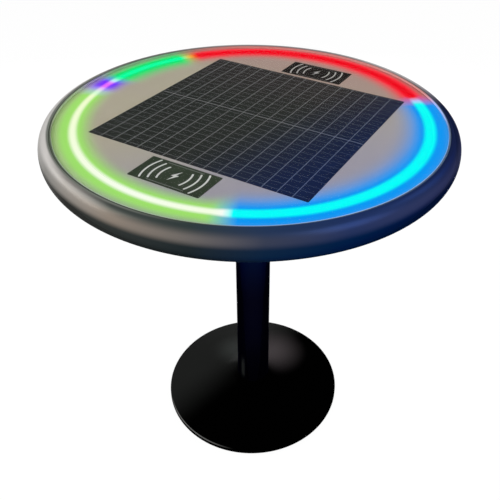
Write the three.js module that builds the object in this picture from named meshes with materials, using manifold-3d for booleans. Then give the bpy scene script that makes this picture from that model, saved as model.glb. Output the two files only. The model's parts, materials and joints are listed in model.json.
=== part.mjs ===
// Pedestal table with a lit, solar-charged glass top
// Millimetres, +Z up. The origin lies on the table's axis, at the floor.
// X runs across the strips of the solar panel, Y along them.

import * as THREE from 'three';
import { mergeVertices } from 'three/addons/utils/BufferGeometryUtils.js';
import Module from 'manifold-3d';

const wasm = await Module();
wasm.setup();

// Overall sizes
const tableHeight = 750;
const rimRadius = 387;
const baseRadius = 206;
const columnRadius = 37.5;

// Clearances
const fitGap = 0.3;
const slideGap = 0.4;
const overrun = 1;

// Facets on round forms
const topSteps = 44;
const baseSteps = 36;
const columnSteps = 32;
const smallSteps = 16;
const holeSteps = 12;
const cornerSteps = 3;
const hexSides = 6;

// Rim ring, a hollow bullnose section
const rimHeight = 58;
const rimBulge = 20.7;
const rimExponent = 2.05;
const rimWall = 3;
const lipChamfer = 0.8;
const ledgeReach = 22;
const panShelf = 8;
const panRecess = 2.7;
const flangeReach = 20;
const rimCurveSteps = 10;
const rimInnerSteps = 3;

// Glass, its gasket and the deck under it
const glassDrop = 1.5;
const glassThickness = 4;
const glassBevel = 0.9;
const gasketWidth = 3.2;
const gasketStand = 0.4;
const gasketRound = 0.8;
const deckThickness = 12;

// Light ring
const lightInset = 34.7;
const tubeWidth = 12;
const tubeHeight = 9;
const tubeWall = 1.3;
const stripWidth = 8;
const stripThickness = 0.4;
const stripStartAngle = THREE.MathUtils.degToRad(193.6);
const chipLength = 5;
const chipWidth = 5;
const chipHeight = 1.6;
const chipPitch = 100;

// Solar laminate, two halves of narrow strips
const panelOffsetX = 6.2;
const panelRingGap = 13.1;
const panelThickness = 2.4;
const panelCorner = 2;
const cellLift = 0.3;
const stripColumns = 16;
const stripRows = 2;
const cellGapX = 1;
const cellGapY = 1.6;
const cellMarginX = 8.5;
const cellMarginY = 0.5;

// Junction box on the laminate's back
const junctionLength = 68;
const junctionWidth = 44;
const junctionHeight = 18;
const junctionCorner = 4;
const junctionInset = 98.5;

// Wireless charging pads and the modules under them
const padLength = 138;
const padWidth = 68;
const padThickness = 2;
const padCorner = 2;
const padOffsetX = 9;
const padRingGap = 24.55;
const padPanelGap = 7.5;
const padLedge = 6;
const deckFloor = 1.8;
const trayWall = 1.4;
const trayCorner = 4;
const boardThickness = 1;
const boardMargin = 3;
const ferriteSide = 50;
const ferriteThickness = 1.5;
const coilOuterRadius = 24;
const coilInnerRadius = 10;
const coilHeadroom = 0.6;

// Pan that closes the underside
const panThickness = 2.4;
const beadInset = 30;
const beadWidth = 12;
const beadDepth = 2;

// Spider that carries the rim, and the posts under the deck
const hubRadius = 112;
const armWidth = 60;
const armThickness = 5;
const armOverlap = 12;
const armCount = 4;
const postRadius = 10;
const postInset = 108.3;

// Battery, its straps and the two control boxes
const batteryLength = 180;
const batteryWidth = 110;
const batteryHeight = 24;
const batteryCorner = 6;
const batteryArmGap = 5;
const strapWidth = 22;
const strapThickness = 1.5;
const strapFoot = 10;
const strapInset = 40;
const chargeBoxLength = 120;
const chargeBoxWidth = 76;
const chargeBoxHeight = 22;
const chargeBoxRimGap = 68.5;
const ledBoxLength = 96;
const ledBoxWidth = 50;
const ledBoxHeight = 18;
const ledBoxX = -55;
const ledBoxHubGap = 53;
const boxCorner = 3;

// Leads between the boxes, held at both ends
const leadRadius = 2.5;
const leadSides = 6;
const leadStepDiameters = 3;
const leadStub = 12;
const leadRunGap = 2;
const batteryLeadY = 22;
const batteryLeadSwayY = 34;
const chargerLeadX = 42;
const chargerLeadY = 45;
const chargerLeadCrossing = 188;
const controllerLeadY = -18;
const controllerLeadCrossing = 146;
const stripLeadCrossing = 190;
const stripLeadBatteryGap = 26;
const stripLeadCornerGap = 8;
const solarLeadInset = 15;
const switchLeadSpacing = 20;
const switchLeadRise = 14;

// Power rocker switch
const switchInset = 38.3;
const switchSpacing = 44;
const rockerLength = 14.8;
const rockerWidth = 9.6;
const rockerValley = 4.2;
const rockerShoulder = 0.5;
const rockerShoulderInset = 1.4;
const rockerTop = 2.6;
const rockerTopHalf = 2.5;
const rockerTilt = THREE.MathUtils.degToRad(10);
const rockerSwing = 0.8;
const rockerPinRadius = 1.5;
const pivotHeight = 2.5;
const switchWall = 1.3;
const switchDepth = 13;
const bezelThickness = 2;
const bezelReach = 2.2;
const bezelCorner = 1.5;

// Colour mode push-button
const buttonRadius = 4.6;
const buttonStand = 1.8;
const buttonLength = 7;
const buttonEdge = 0.5;
const buttonTravel = 1.5;
const stemRadius = 1.5;
const stemLength = 2.4;
const buttonWall = 1.5;
const buttonBezelReach = 2.4;
const buttonFloor = 1.5;

// Top mounting plate and its bolts
const plateReach = 8;
const plateThickness = 6;
const plateEdge = 1;
const collarWall = 4;
const collarLength = 24;
const boltInset = 27;
const boltCount = 4;
const boltRadius = 4;
const boltHeadRadius = 7.5;
const boltHeadHeight = 5.3;
const boltEnd = 3;

// Column tube
const columnWall = 2;

// Tie rod and its nuts
const rodRadius = 5;
const rodEnd = 4;
const nutRadius = 9.8;
const nutHeight = 8;
const washerRadius = 12;
const washerThickness = 2;

// Base cover, a spun trumpet over the weight
const baseLift = 3;
const baseEdge = 9.4;
const baseFillet = 3;
const coneRise = 14;
const neckRise = 22;
const neckPower = 9;
const neckGap = 0.5;
const coverWall = 2;
const coverSteps = 7;
const filletSteps = 3;

// Base weight
const weightLift = 1;
const bossReach = 10;
const spigotLength = 20;
const nutPocketRadius = 16;
const nutPocketDepth = 11.5;

// Levelling glides
const glideInset = 34;
const glideCount = 4;
const glideFootRadius = 16;
const glideFootEdge = 1;
const studRadius = 4;
const studLength = 9;

// Levels, from the crest of the rim down
const rimBottomZ = tableHeight - rimHeight;
const rimMiddleZ = tableHeight - rimHeight / 2;
const glassTopZ = tableHeight - glassDrop;
const glassBottomZ = glassTopZ - glassThickness;
const deckTopZ = glassBottomZ - fitGap;
const deckBottomZ = deckTopZ - deckThickness;
const ledgeTopZ = deckBottomZ - fitGap;
const ledgeBottomZ = ledgeTopZ - rimWall;
const panTopZ = rimBottomZ + panRecess - fitGap;
const panBottomZ = panTopZ - panThickness;
const flangeBottomZ = rimBottomZ + panRecess;
const flangeTopZ = flangeBottomZ + rimWall;
const armBottomZ = flangeTopZ + fitGap;
const armTopZ = armBottomZ + armThickness;
const hubBottomZ = panTopZ + fitGap;
const plateTopZ = panBottomZ - fitGap;
const plateBottomZ = plateTopZ - plateThickness;
const columnTopZ = plateBottomZ - fitGap;

// Levels of the base
const baseEdgeZ = baseLift + baseEdge;
const weightBottomZ = baseLift + weightLift;

// Radii that follow from the rim
const rimCurveRadius = rimRadius - rimBulge;
const lipRadius = rimCurveRadius - lipChamfer;
const glassRadius = lipRadius - gasketWidth - 2 * fitGap;
const ledgeRadius = lipRadius - ledgeReach;
const recessRadius = rimCurveRadius - panShelf;
const flangeRadius = recessRadius - flangeReach;
const panRadius = recessRadius - fitGap;
const armReach = flangeRadius + armOverlap;
const postCircle = flangeRadius - postInset;
const switchCircle = flangeRadius - switchInset;
const beadRadius = switchCircle - beadInset;

// The light ring follows the glass, and the pads and the panel fill the space inside it
const lightRadius = glassRadius - lightInset;
const lightInnerRadius = lightRadius - tubeWidth / 2;
const grooveDepth = tubeHeight + fitGap;
const padOuterY = legBeside(lightInnerRadius - padRingGap, padOffsetX + padLength / 2);
const padOffsetY = padOuterY - padWidth / 2;
const panelHalfWidth = padOffsetY - padWidth / 2 - padPanelGap;
const panelReachX = legBeside(lightInnerRadius - panelRingGap, panelHalfWidth);
const panelWidth = 2 * panelHalfWidth;
const panelLength = 2 * (panelReachX - panelOffsetX);
const junctionX = panelLength / 2 - junctionInset;
const trayDepth = deckThickness - padThickness - 2 * fitGap - deckFloor;

// Places in the space under the deck
const boltCircle = hubRadius - boltInset;
const plateRadius = hubRadius + plateReach;
const batteryX = -(batteryLength / 2 + (armWidth / 2 + batteryArmGap) * Math.SQRT2
  + batteryWidth / 2);
const strapOffset = batteryLength / 2 - strapInset;
const chargeBoxX = legBeside(flangeRadius - chargeBoxRimGap, chargeBoxLength / 2)
  - chargeBoxWidth / 2;
const ledBoxY = -(hubRadius + ledBoxHubGap + ledBoxWidth / 2);
const leadHoleRadius = leadRadius + fitGap;
const leadLevelZ = armTopZ + leadRunGap + leadRadius;
const stripEndGap = 2 * leadHoleRadius;
const stripStartX = lightRadius * Math.cos(stripStartAngle);
const stripStartY = lightRadius * Math.sin(stripStartAngle);

// Radii of the pedestal
const columnInnerRadius = columnRadius - columnWall;
const neckRadius = columnRadius + neckGap;
const coverInnerRadius = baseRadius - coverWall;
const bossRadius = neckRadius + bossReach;
const glideCircle = coverInnerRadius - glideInset;
const rodHoleRadius = rodRadius + fitGap;

// The second leg of a right triangle, from its longest side and its first leg.
function legBeside(hypotenuse, leg) {
  return Math.sqrt(hypotenuse ** 2 - leg ** 2);
}

// Finishes
const finishes = {
  clearGlass: { color: 0xdfe9ea, roughness: 0.03, metalness: 0 },
  blackRubber: { color: 0x111213, roughness: 0.7, metalness: 0 },
  rimMetal: { color: 0x2b2c30, roughness: 0.3, metalness: 0.9 },
  greyDeck: { color: 0xa59b91, roughness: 0.7, metalness: 0 },
  solarCell: { color: 0x2b2f3a, roughness: 0.35, metalness: 0.2 },
  padGrey: { color: 0x3a3e40, roughness: 0.5, metalness: 0 },
  milkySilicone: { color: 0xe4f4ee, roughness: 0.45, metalness: 0 },
  blackPlastic: { color: 0x1a1b1c, roughness: 0.5, metalness: 0 },
  circuitBoard: { color: 0x1d5a37, roughness: 0.5, metalness: 0 },
  ferrite: { color: 0x33302f, roughness: 0.8, metalness: 0 },
  copper: { color: 0xb06a3c, roughness: 0.35, metalness: 0.9 },
  stripWhite: { color: 0xf2f2ec, roughness: 0.5, metalness: 0 },
  panBlack: { color: 0x17181a, roughness: 0.55, metalness: 0.5 },
  zincSteel: { color: 0x9c9fa2, roughness: 0.4, metalness: 0.9 },
  batteryBlue: { color: 0x27426b, roughness: 0.5, metalness: 0 },
  satinBlack: { color: 0x0c0c0e, roughness: 0.35, metalness: 0.6 },
  castIron: { color: 0x2a2a2b, roughness: 0.8, metalness: 0.6 },
  cableBlack: { color: 0x141414, roughness: 0.6, metalness: 0 },
};

// Adds one named piece to its group.
function addPiece(parent, name, geometry, finish, x = 0, y = 0, z = 0) {
  const mesh = new THREE.Mesh(geometry, new THREE.MeshStandardMaterial(finishes[finish]));
  mesh.name = name;
  mesh.position.set(x, y, z);
  parent.add(mesh);
  return mesh;
}

// Turns a closed geometry into a solid that can be joined and cut.
function solidOf(geometry) {
  const plain = geometry.clone();
  plain.deleteAttribute('normal');
  plain.deleteAttribute('uv');
  const merged = mergeVertices(plain);
  const triVerts = [];
  for (let i = 0; i < merged.index.count; i += 3) {
    const corners = [0, 1, 2].map((k) => merged.index.getX(i + k));
    if (new Set(corners).size === 3) triVerts.push(...corners);
  }
  return new wasm.Manifold(new wasm.Mesh({
    numProp: 3,
    vertProperties: merged.attributes.position.array,
    triVerts: Uint32Array.from(triVerts),
  }));
}

// Gives a solid back as a geometry.
function geometryOf(solid) {
  const mesh = solid.getMesh();
  const geometry = new THREE.BufferGeometry();
  geometry.setAttribute('position', new THREE.BufferAttribute(mesh.vertProperties, 3));
  geometry.setIndex(new THREE.BufferAttribute(mesh.triVerts, 1));
  geometry.computeVertexNormals();
  return geometry;
}

// Cuts every one of the tools out of a geometry.
function cutAway(geometry, tools) {
  let solid = solidOf(geometry);
  for (const tool of tools) solid = solid.subtract(solidOf(tool));
  return geometryOf(solid);
}

// Joins geometries that overlap into one.
function joinAll(geometries) {
  return geometryOf(geometries.map(solidOf).reduce((all, one) => all.add(one)));
}

// Revolves a profile of [radius, height] points about the Z axis.
// The points run counter-clockwise, with the axis on their left-hand side at the start.
function revolve(profile, steps) {
  const points = profile.map(([radius, height]) => new THREE.Vector2(radius, height));
  return new THREE.LatheGeometry(points, steps).rotateX(Math.PI / 2);
}

// Revolves a ring-shaped profile, closed back to its first point.
function revolveRing(profile, steps) {
  return revolve([...profile, profile[0]], steps);
}

// A plain ring between two radii and two heights.
function ring(inner, outer, bottom, top, steps) {
  return revolveRing([[inner, bottom], [outer, bottom], [outer, top], [inner, top]], steps);
}

// A disc or rod from one height to another.
function rod(radius, bottom, top, steps) {
  return revolve([[0, bottom], [radius, bottom], [radius, top], [0, top]], steps);
}

// A rectangle with round corners, centred, as an outline.
function roundedOutline(length, width, corner) {
  const x = length / 2 - corner;
  const y = width / 2 - corner;
  const outline = new THREE.Shape();
  outline.absarc(x, -y, corner, -Math.PI / 2, 0);
  outline.absarc(x, y, corner, 0, Math.PI / 2);
  outline.absarc(-x, y, corner, Math.PI / 2, Math.PI);
  outline.absarc(-x, -y, corner, Math.PI, Math.PI * 1.5);
  return outline;
}

// A plate with round corners, from one height to another.
function roundedPlate(length, width, corner, bottom, top) {
  const settings = { depth: top - bottom, bevelEnabled: false, curveSegments: cornerSteps };
  const plate = new THREE.ExtrudeGeometry(roundedOutline(length, width, corner), settings);
  return plate.translate(0, 0, bottom);
}

// A box with square corners, from one height to another.
function plainBox(length, width, bottom, top) {
  return new THREE.BoxGeometry(length, width, top - bottom).translate(0, 0, (top + bottom) / 2);
}

// The places of a number of copies spread evenly on a circle.
function onCircle(radius, count, startAngle = 0) {
  return Array.from({ length: count }, (_, i) => {
    const angle = startAngle + (2 * Math.PI * i) / count;
    return [radius * Math.cos(angle), radius * Math.sin(angle)];
  });
}

// Half the width of a superellipse at a height between -1 and 1.
function superellipseShare(heightShare) {
  return (1 - Math.abs(heightShare) ** rimExponent) ** (1 / rimExponent);
}

// Rim ring

// The bullnose curve between two heights, set in from the outside by an inset.
function rimCurve(fromZ, toZ, inset, steps) {
  const half = rimHeight / 2 - inset;
  const depth = rimBulge - inset;
  const startAngle = Math.asin(THREE.MathUtils.clamp((fromZ - rimMiddleZ) / half, -1, 1));
  const endAngle = Math.asin(THREE.MathUtils.clamp((toZ - rimMiddleZ) / half, -1, 1));
  return Array.from({ length: steps + 1 }, (_, i) => {
    const heightShare = Math.sin(startAngle + ((endAngle - startAngle) * i) / steps);
    const reach = depth * superellipseShare(heightShare);
    return [rimCurveRadius + reach, rimMiddleZ + half * heightShare];
  });
}

// One section holds the lip, the ledge under the deck, the hollow and the pan's flange.
function rimRing() {
  return revolveRing([
    [recessRadius, rimBottomZ],
    ...rimCurve(rimBottomZ, tableHeight, 0, rimCurveSteps),
    [lipRadius, tableHeight - lipChamfer],
    [lipRadius, ledgeTopZ],
    [ledgeRadius, ledgeTopZ],
    [ledgeRadius, ledgeBottomZ],
    ...rimCurve(ledgeBottomZ, flangeTopZ, rimWall, rimInnerSteps),
    [flangeRadius, flangeTopZ],
    [flangeRadius, flangeBottomZ],
    [recessRadius, flangeBottomZ],
  ], topSteps);
}

// Glass, gasket and deck

function glassTop() {
  return revolve([
    [0, glassBottomZ],
    [glassRadius, glassBottomZ],
    [glassRadius, glassTopZ - glassBevel],
    [glassRadius - glassBevel, glassTopZ],
    [0, glassTopZ],
  ], topSteps);
}

function glassGasket() {
  const inner = glassRadius + fitGap;
  const outer = inner + gasketWidth;
  const top = glassTopZ + gasketStand;
  return revolveRing([
    [inner, deckBottomZ],
    [outer, deckBottomZ],
    [outer, top - gasketRound],
    [outer - gasketRound, top],
    [inner + gasketRound, top],
    [inner, top - gasketRound],
  ], topSteps);
}

// The board has a groove for the light tube and pockets for what lies flush in it.
function deckBoard() {
  const grooveHalf = tubeWidth / 2 + fitGap;
  const aboveZ = deckTopZ + overrun;
  const groove = ring(lightRadius - grooveHalf, lightRadius + grooveHalf,
    deckTopZ - grooveDepth, aboveZ, topSteps);
  const panelPocket = roundedPlate(panelLength + 2 * fitGap, panelWidth + 2 * fitGap,
    panelCorner + fitGap, deckTopZ - panelThickness - fitGap, aboveZ)
    .translate(panelOffsetX, 0, 0);
  const junctionHole = roundedPlate(junctionLength + 2 * fitGap, junctionWidth + 2 * fitGap,
    junctionCorner + fitGap, deckBottomZ - overrun, aboveZ)
    .translate(panelOffsetX + junctionX, 0, 0);
  const padPockets = [-padOffsetY, padOffsetY].flatMap((y) => [
    roundedPlate(padLength + 2 * fitGap, padWidth + 2 * fitGap, padCorner + fitGap,
      deckTopZ - padThickness - fitGap, aboveZ).translate(padOffsetX, y, 0),
    roundedPlate(padLength - 2 * padLedge, padWidth - 2 * padLedge, trayCorner + fitGap,
      deckTopZ - padThickness - trayDepth - 2 * fitGap, aboveZ).translate(padOffsetX, y, 0),
  ]);
  const leadPlaces = [
    [padOffsetX + chargerLeadX, -padOffsetY],
    [padOffsetX + chargerLeadX, padOffsetY],
    [stripStartX, stripStartY],
  ];
  const leadHoles = leadPlaces.map(([x, y]) => (
    rod(leadHoleRadius, deckBottomZ - overrun, deckTopZ, holeSteps).translate(x, y, 0)
  ));
  const board = rod(glassRadius, deckBottomZ, deckTopZ, topSteps);
  return cutAway(board, [groove, panelPocket, junctionHole, ...padPockets, ...leadHoles]);
}

// Solar laminate

// Where each strip of cell lies on the laminate, as its middle and its size.
function cellStrips() {
  const pitchX = (panelLength - 2 * cellMarginX) / stripColumns;
  const pitchY = (panelWidth - 2 * cellMarginY) / stripRows;
  const strips = [];
  for (let column = 0; column < stripColumns; column += 1) {
    for (let row = 0; row < stripRows; row += 1) {
      strips.push({
        x: (column - (stripColumns - 1) / 2) * pitchX,
        y: (row - (stripRows - 1) / 2) * pitchY,
        length: pitchX - cellGapX,
        width: pitchY - cellGapY,
      });
    }
  }
  return strips;
}

function solarLaminate() {
  const backTop = -cellLift;
  const back = roundedPlate(panelLength, panelWidth, panelCorner, -panelThickness, backTop);
  const strips = cellStrips().map(({ x, y, length, width }) => (
    plainBox(length, width, backTop - cellLift, 0).translate(x, y, 0)
  ));
  return joinAll([back, ...strips]);
}

function junctionBox() {
  const top = -panelThickness - fitGap;
  return roundedPlate(junctionLength, junctionWidth, junctionCorner, top - junctionHeight, top);
}

// Light ring

// An inverted channel of silicone, open below over the strip.
function lightTube() {
  const outer = lightRadius + tubeWidth / 2;
  const inner = lightRadius - tubeWidth / 2;
  const bottom = deckTopZ - tubeHeight;
  const ceiling = deckTopZ - tubeWall;
  return revolveRing([
    [outer - tubeWall, bottom],
    [outer, bottom],
    [outer, deckTopZ],
    [inner, deckTopZ],
    [inner, bottom],
    [inner + tubeWall, bottom],
    [inner + tubeWall, ceiling],
    [outer - tubeWall, ceiling],
  ], topSteps);
}

// A flexible strip bent into a ring with a small gap at its ends, and its light chips.
function ledStrip() {
  const inner = lightRadius - stripWidth / 2;
  const outer = lightRadius + stripWidth / 2;
  const bottom = deckTopZ - grooveDepth + fitGap;
  const tapeTop = bottom + stripThickness;
  const gap = plainBox(stripWidth + 2 * overrun, stripEndGap, bottom - overrun, tapeTop + overrun)
    .translate(lightRadius, 0, 0)
    .rotateZ(stripStartAngle);
  const tape = cutAway(ring(inner, outer, bottom, tapeTop, topSteps), [gap]);
  const halfGap = stripEndGap / lightRadius / 2;
  const from = stripStartAngle + halfGap;
  const to = stripStartAngle + 2 * Math.PI - halfGap;
  const chipCount = Math.floor(((to - from) * lightRadius) / chipPitch);
  const chips = Array.from({ length: chipCount }, (_, i) => (
    plainBox(chipWidth, chipLength, bottom + stripThickness / 2, tapeTop + chipHeight)
      .translate(lightRadius, 0, 0)
      .rotateZ(from + ((to - from) * (i + 0.5)) / chipCount)
  ));
  return joinAll([tape, ...chips]);
}

// Charging module, with its own zero at the top face of the deck

function chargingModule(name, y) {
  const module = new THREE.Group();
  module.position.set(padOffsetX, y, deckTopZ);
  const trayLength = padLength - 2 * padLedge - 2 * fitGap;
  const trayWidth = padWidth - 2 * padLedge - 2 * fitGap;
  const trayTop = -padThickness - fitGap;
  const trayFloor = trayTop - trayDepth + trayWall;
  const pad = roundedPlate(padLength, padWidth, padCorner, -padThickness, 0);
  const hollow = roundedPlate(trayLength - 2 * trayWall, trayWidth - 2 * trayWall,
    trayCorner - trayWall, trayFloor, trayTop + overrun);
  const shell = roundedPlate(trayLength, trayWidth, trayCorner, trayTop - trayDepth, trayTop);
  const leadHole = rod(leadHoleRadius, trayTop - trayDepth - overrun, trayTop, holeSteps)
    .translate(chargerLeadX, 0, 0);
  const boardBottom = trayFloor + fitGap;
  const boardTop = boardBottom + boardThickness;
  const ferriteTop = boardTop + fitGap + ferriteThickness;
  const coilBottom = ferriteTop + fitGap;
  const coilTop = trayTop - coilHeadroom;
  addPiece(module, `charge_pad_${name}`, pad, 'padGrey');
  addPiece(module, `charger_tray_${name}`, cutAway(shell, [hollow, leadHole]), 'blackPlastic');
  addPiece(module, `charger_board_${name}`, plainBox(trayLength - 2 * boardMargin,
    trayWidth - 2 * boardMargin, boardBottom, boardTop), 'circuitBoard');
  addPiece(module, `charger_ferrite_${name}`, plainBox(ferriteSide,
    Math.min(ferriteSide, trayWidth - 2 * boardMargin), boardTop + fitGap, ferriteTop), 'ferrite');
  addPiece(module, `charger_coil_${name}`, ring(coilInnerRadius,
    Math.min(coilOuterRadius, trayWidth / 2 - boardMargin), coilBottom, coilTop, smallSteps),
  'copper');
  return module;
}

// Underside

// The pan is flat, with one pressed bead, and holes for the bolts, the rod and the switches.
function undersidePan() {
  const beadHalf = beadWidth / 2;
  const dip = (z) => [
    [beadRadius - beadHalf, z],
    [beadRadius, z - beadDepth],
    [beadRadius + beadHalf, z],
  ];
  const sheet = revolve([
    [0, panBottomZ],
    ...dip(panBottomZ),
    [panRadius, panBottomZ],
    [panRadius, panTopZ],
    ...dip(panTopZ).reverse(),
    [0, panTopZ],
  ], topSteps);
  const below = panBottomZ - overrun;
  const above = panTopZ + overrun;
  const boltHoles = onCircle(boltCircle, boltCount).map(([x, y]) => (
    rod(boltRadius + fitGap, below, above, holeSteps).translate(x, y, 0)
  ));
  const rodHole = rod(rodHoleRadius, below, above, holeSteps);
  const rockerHole = plainBox(switchLength + 2 * fitGap, switchWidth + 2 * fitGap, below, above)
    .translate(-switchSpacing / 2, -switchCircle, 0);
  const buttonHole = rod(buttonBodyRadius + fitGap, below, above, smallSteps)
    .translate(switchSpacing / 2, -switchCircle, 0);
  return cutAway(sheet, [...boltHoles, rodHole, rockerHole, buttonHole]);
}

// The hub stands on the pan, and the arms lie on the rim's flange.
function supportSpider() {
  const hub = rod(hubRadius, hubBottomZ, armTopZ, baseSteps);
  const arms = [-1, 1].map((side) => (
    plainBox(2 * armReach, armWidth, armBottomZ, armTopZ).rotateZ((side * Math.PI) / armCount)
  ));
  const below = hubBottomZ - overrun;
  const above = armTopZ + overrun;
  const boltHoles = onCircle(boltCircle, boltCount).map(([x, y]) => (
    rod(boltRadius + fitGap, below, above, holeSteps).translate(x, y, 0)
  ));
  const rodHole = rod(rodHoleRadius, below, above, holeSteps);
  return cutAway(joinAll([hub, ...arms]), [...boltHoles, rodHole]);
}

function deckPost() {
  return rod(postRadius, armTopZ + fitGap, deckBottomZ - fitGap, holeSteps);
}

function batteryPack() {
  const bottom = panTopZ + fitGap;
  return roundedPlate(batteryWidth, batteryLength, batteryCorner, bottom, bottom + batteryHeight);
}

// A flat strap over the battery, with a foot on the pan at each side.
function batteryStrap() {
  const half = batteryWidth / 2 + fitGap;
  const outer = half + strapThickness;
  const foot = panTopZ + fitGap;
  const under = foot + batteryHeight + fitGap;
  const outline = new THREE.Shape([
    [-outer - strapFoot, foot], [-half, foot], [-half, under], [half, under],
    [half, foot], [outer + strapFoot, foot], [outer + strapFoot, foot + strapThickness],
    [outer, foot + strapThickness], [outer, under + strapThickness],
    [-outer, under + strapThickness], [-outer, foot + strapThickness],
    [-outer - strapFoot, foot + strapThickness],
  ].map(([x, y]) => new THREE.Vector2(x, y)));
  return new THREE.ExtrudeGeometry(outline, { depth: strapWidth, bevelEnabled: false })
    .rotateX(Math.PI / 2)
    .translate(0, strapWidth / 2, 0);
}

function controlBox(length, width, height) {
  const bottom = panTopZ + fitGap;
  return roundedPlate(length, width, boxCorner, bottom, bottom + height);
}

// Leads

// A round cable along a smooth curve through the points of its route.
function lead(route) {
  const path = new THREE.CatmullRomCurve3(route.map(([x, y, z]) => new THREE.Vector3(x, y, z)));
  const steps = Math.ceil(path.getLength() / (2 * leadRadius * leadStepDiameters));
  const section = new THREE.Shape(onCircle(leadRadius, leadSides)
    .map(([x, y]) => new THREE.Vector2(x, y)));
  return new THREE.ExtrudeGeometry(section, { steps, extrudePath: path, bevelEnabled: false });
}

// Over the hub, from the battery to the charge controller.
function batteryLead() {
  const from = batteryX + batteryWidth / 2 + fitGap;
  const to = chargeBoxX - chargeBoxWidth / 2 - fitGap;
  return lead([
    [from, batteryLeadY, leadLevelZ],
    [from + leadStub, batteryLeadY, leadLevelZ],
    [0, batteryLeadSwayY, leadLevelZ],
    [to - leadStub, batteryLeadY, leadLevelZ],
    [to, batteryLeadY, leadLevelZ],
  ]);
}

// Out of the junction box below the deck, and down into the charge controller.
function solarLead() {
  const from = panelOffsetX + junctionX + junctionLength / 2 + fitGap;
  const fromZ = deckBottomZ - fitGap - leadRadius;
  const to = chargeBoxX - solarLeadInset;
  const toZ = panTopZ + 2 * fitGap + chargeBoxHeight;
  return lead([
    [from, 0, fromZ],
    [from + leadStub, 0, fromZ],
    [to, 0, toZ + leadStub / 2],
    [to, 0, toZ],
  ]);
}

// Down through the tray and the deck, over one arm and in to the charge controller.
function chargerLead(side) {
  const x = padOffsetX + chargerLeadX;
  const y = side * padOffsetY;
  const crossing = chargerLeadCrossing * Math.SQRT1_2;
  const to = chargeBoxX - chargeBoxWidth / 2 - fitGap;
  return lead([
    [x, y, deckTopZ - padThickness - fitGap - trayDepth + trayWall],
    [x, y, deckBottomZ - leadStub],
    [x + leadStub, y - side * leadStub, leadLevelZ],
    [crossing, side * crossing, leadLevelZ],
    [to - leadStub, side * chargerLeadY, leadLevelZ],
    [to, side * chargerLeadY, leadLevelZ],
  ]);
}

// From the charge controller to the LED controller, over the arm between them.
function controllerLead() {
  const from = chargeBoxX - chargeBoxWidth / 2 - fitGap;
  const to = ledBoxX + ledBoxLength / 2 + fitGap;
  const crossing = controllerLeadCrossing * Math.SQRT1_2;
  return lead([
    [from, controllerLeadY, leadLevelZ],
    [from - leadStub, controllerLeadY, leadLevelZ],
    [crossing, -crossing, leadLevelZ],
    [to + leadStub, ledBoxY, leadLevelZ],
    [to, ledBoxY, leadLevelZ],
  ]);
}

// From the LED controller, between the arm's post and the battery, up to the strip's start.
function stripLead() {
  const from = ledBoxX - ledBoxLength / 2 - fitGap;
  const crossing = stripLeadCrossing * Math.SQRT1_2;
  const batteryEndY = -batteryLength / 2;
  const batteryOuterX = batteryX - batteryWidth / 2;
  return lead([
    [from, ledBoxY, leadLevelZ],
    [from - leadStub, ledBoxY, leadLevelZ],
    [-crossing, -crossing, leadLevelZ],
    [batteryX, batteryEndY - stripLeadBatteryGap, leadLevelZ],
    [batteryOuterX - stripLeadCornerGap / 2, batteryEndY - stripLeadCornerGap, leadLevelZ],
    [stripStartX, stripStartY, deckBottomZ - leadStub],
    [stripStartX, stripStartY, deckTopZ - grooveDepth + fitGap + stripThickness],
  ]);
}

// Up out of a switch and over to the side of the LED controller.
function switchLead(switchX, switchTopZ, boxX) {
  const from = switchTopZ + fitGap;
  const to = ledBoxY - ledBoxWidth / 2 - fitGap;
  return lead([
    [switchX, -switchCircle, from],
    [switchX, -switchCircle, from + leadStub / 2],
    [(switchX + boxX) / 2, (to - switchCircle) / 2, from + switchLeadRise],
    [boxX, to - leadStub, leadLevelZ],
    [boxX, to, leadLevelZ],
  ]);
}

// Power rocker switch, with its own zero at the pan's lower face

const rockerHalf = rockerLength / 2;
const rockerCorner = rockerValley + rockerHalf * Math.tan(rockerTilt);
const pocketHalf = Math.hypot(rockerHalf, rockerCorner) * Math.cos(
  Math.atan2(rockerCorner, rockerHalf) - rockerTilt) + slideGap;
const pocketHalfWidth = rockerWidth / 2 + fitGap;
const switchLength = 2 * (pocketHalf + switchWall);
const switchWidth = 2 * (pocketHalfWidth + switchWall);
const buttonPocketRadius = buttonRadius + slideGap;
const buttonBodyRadius = buttonPocketRadius + buttonWall;

function switchBody() {
  const bezelTop = -fitGap;
  const bezelBottom = bezelTop - bezelThickness;
  const bezel = roundedPlate(switchLength + 2 * bezelReach, switchWidth + 2 * bezelReach,
    bezelCorner, bezelBottom, bezelTop);
  const housing = plainBox(switchLength, switchWidth, bezelBottom, switchDepth);
  const ceiling = pivotHeight + rockerTop + rockerSwing;
  const pocket = plainBox(2 * pocketHalf, 2 * pocketHalfWidth, bezelBottom - overrun, ceiling);
  const pinHole = rod(rockerPinRadius + fitGap, -switchWidth, switchWidth, holeSteps)
    .rotateX(Math.PI / 2)
    .translate(0, 0, pivotHeight);
  return cutAway(joinAll([bezel, housing]), [pocket, pinHole]);
}

// The rocker's face is a shallow V, and its pin runs into the housing's side walls.
function rocker() {
  const shoulderHalf = rockerHalf - rockerShoulderInset;
  const outline = new THREE.Shape([
    [-rockerHalf, -rockerCorner], [0, -rockerValley], [rockerHalf, -rockerCorner],
    [shoulderHalf, rockerShoulder], [rockerTopHalf, rockerTop],
    [-rockerTopHalf, rockerTop], [-shoulderHalf, rockerShoulder],
  ].map(([x, y]) => new THREE.Vector2(x, y)));
  const paddle = new THREE.ExtrudeGeometry(outline, { depth: rockerWidth, bevelEnabled: false })
    .rotateX(Math.PI / 2)
    .translate(0, rockerWidth / 2, 0);
  const pinHalf = switchWidth / 2 - fitGap;
  const pin = rod(rockerPinRadius, -pinHalf, pinHalf, holeSteps).rotateX(Math.PI / 2);
  return joinAll([paddle, pin]);
}

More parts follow.
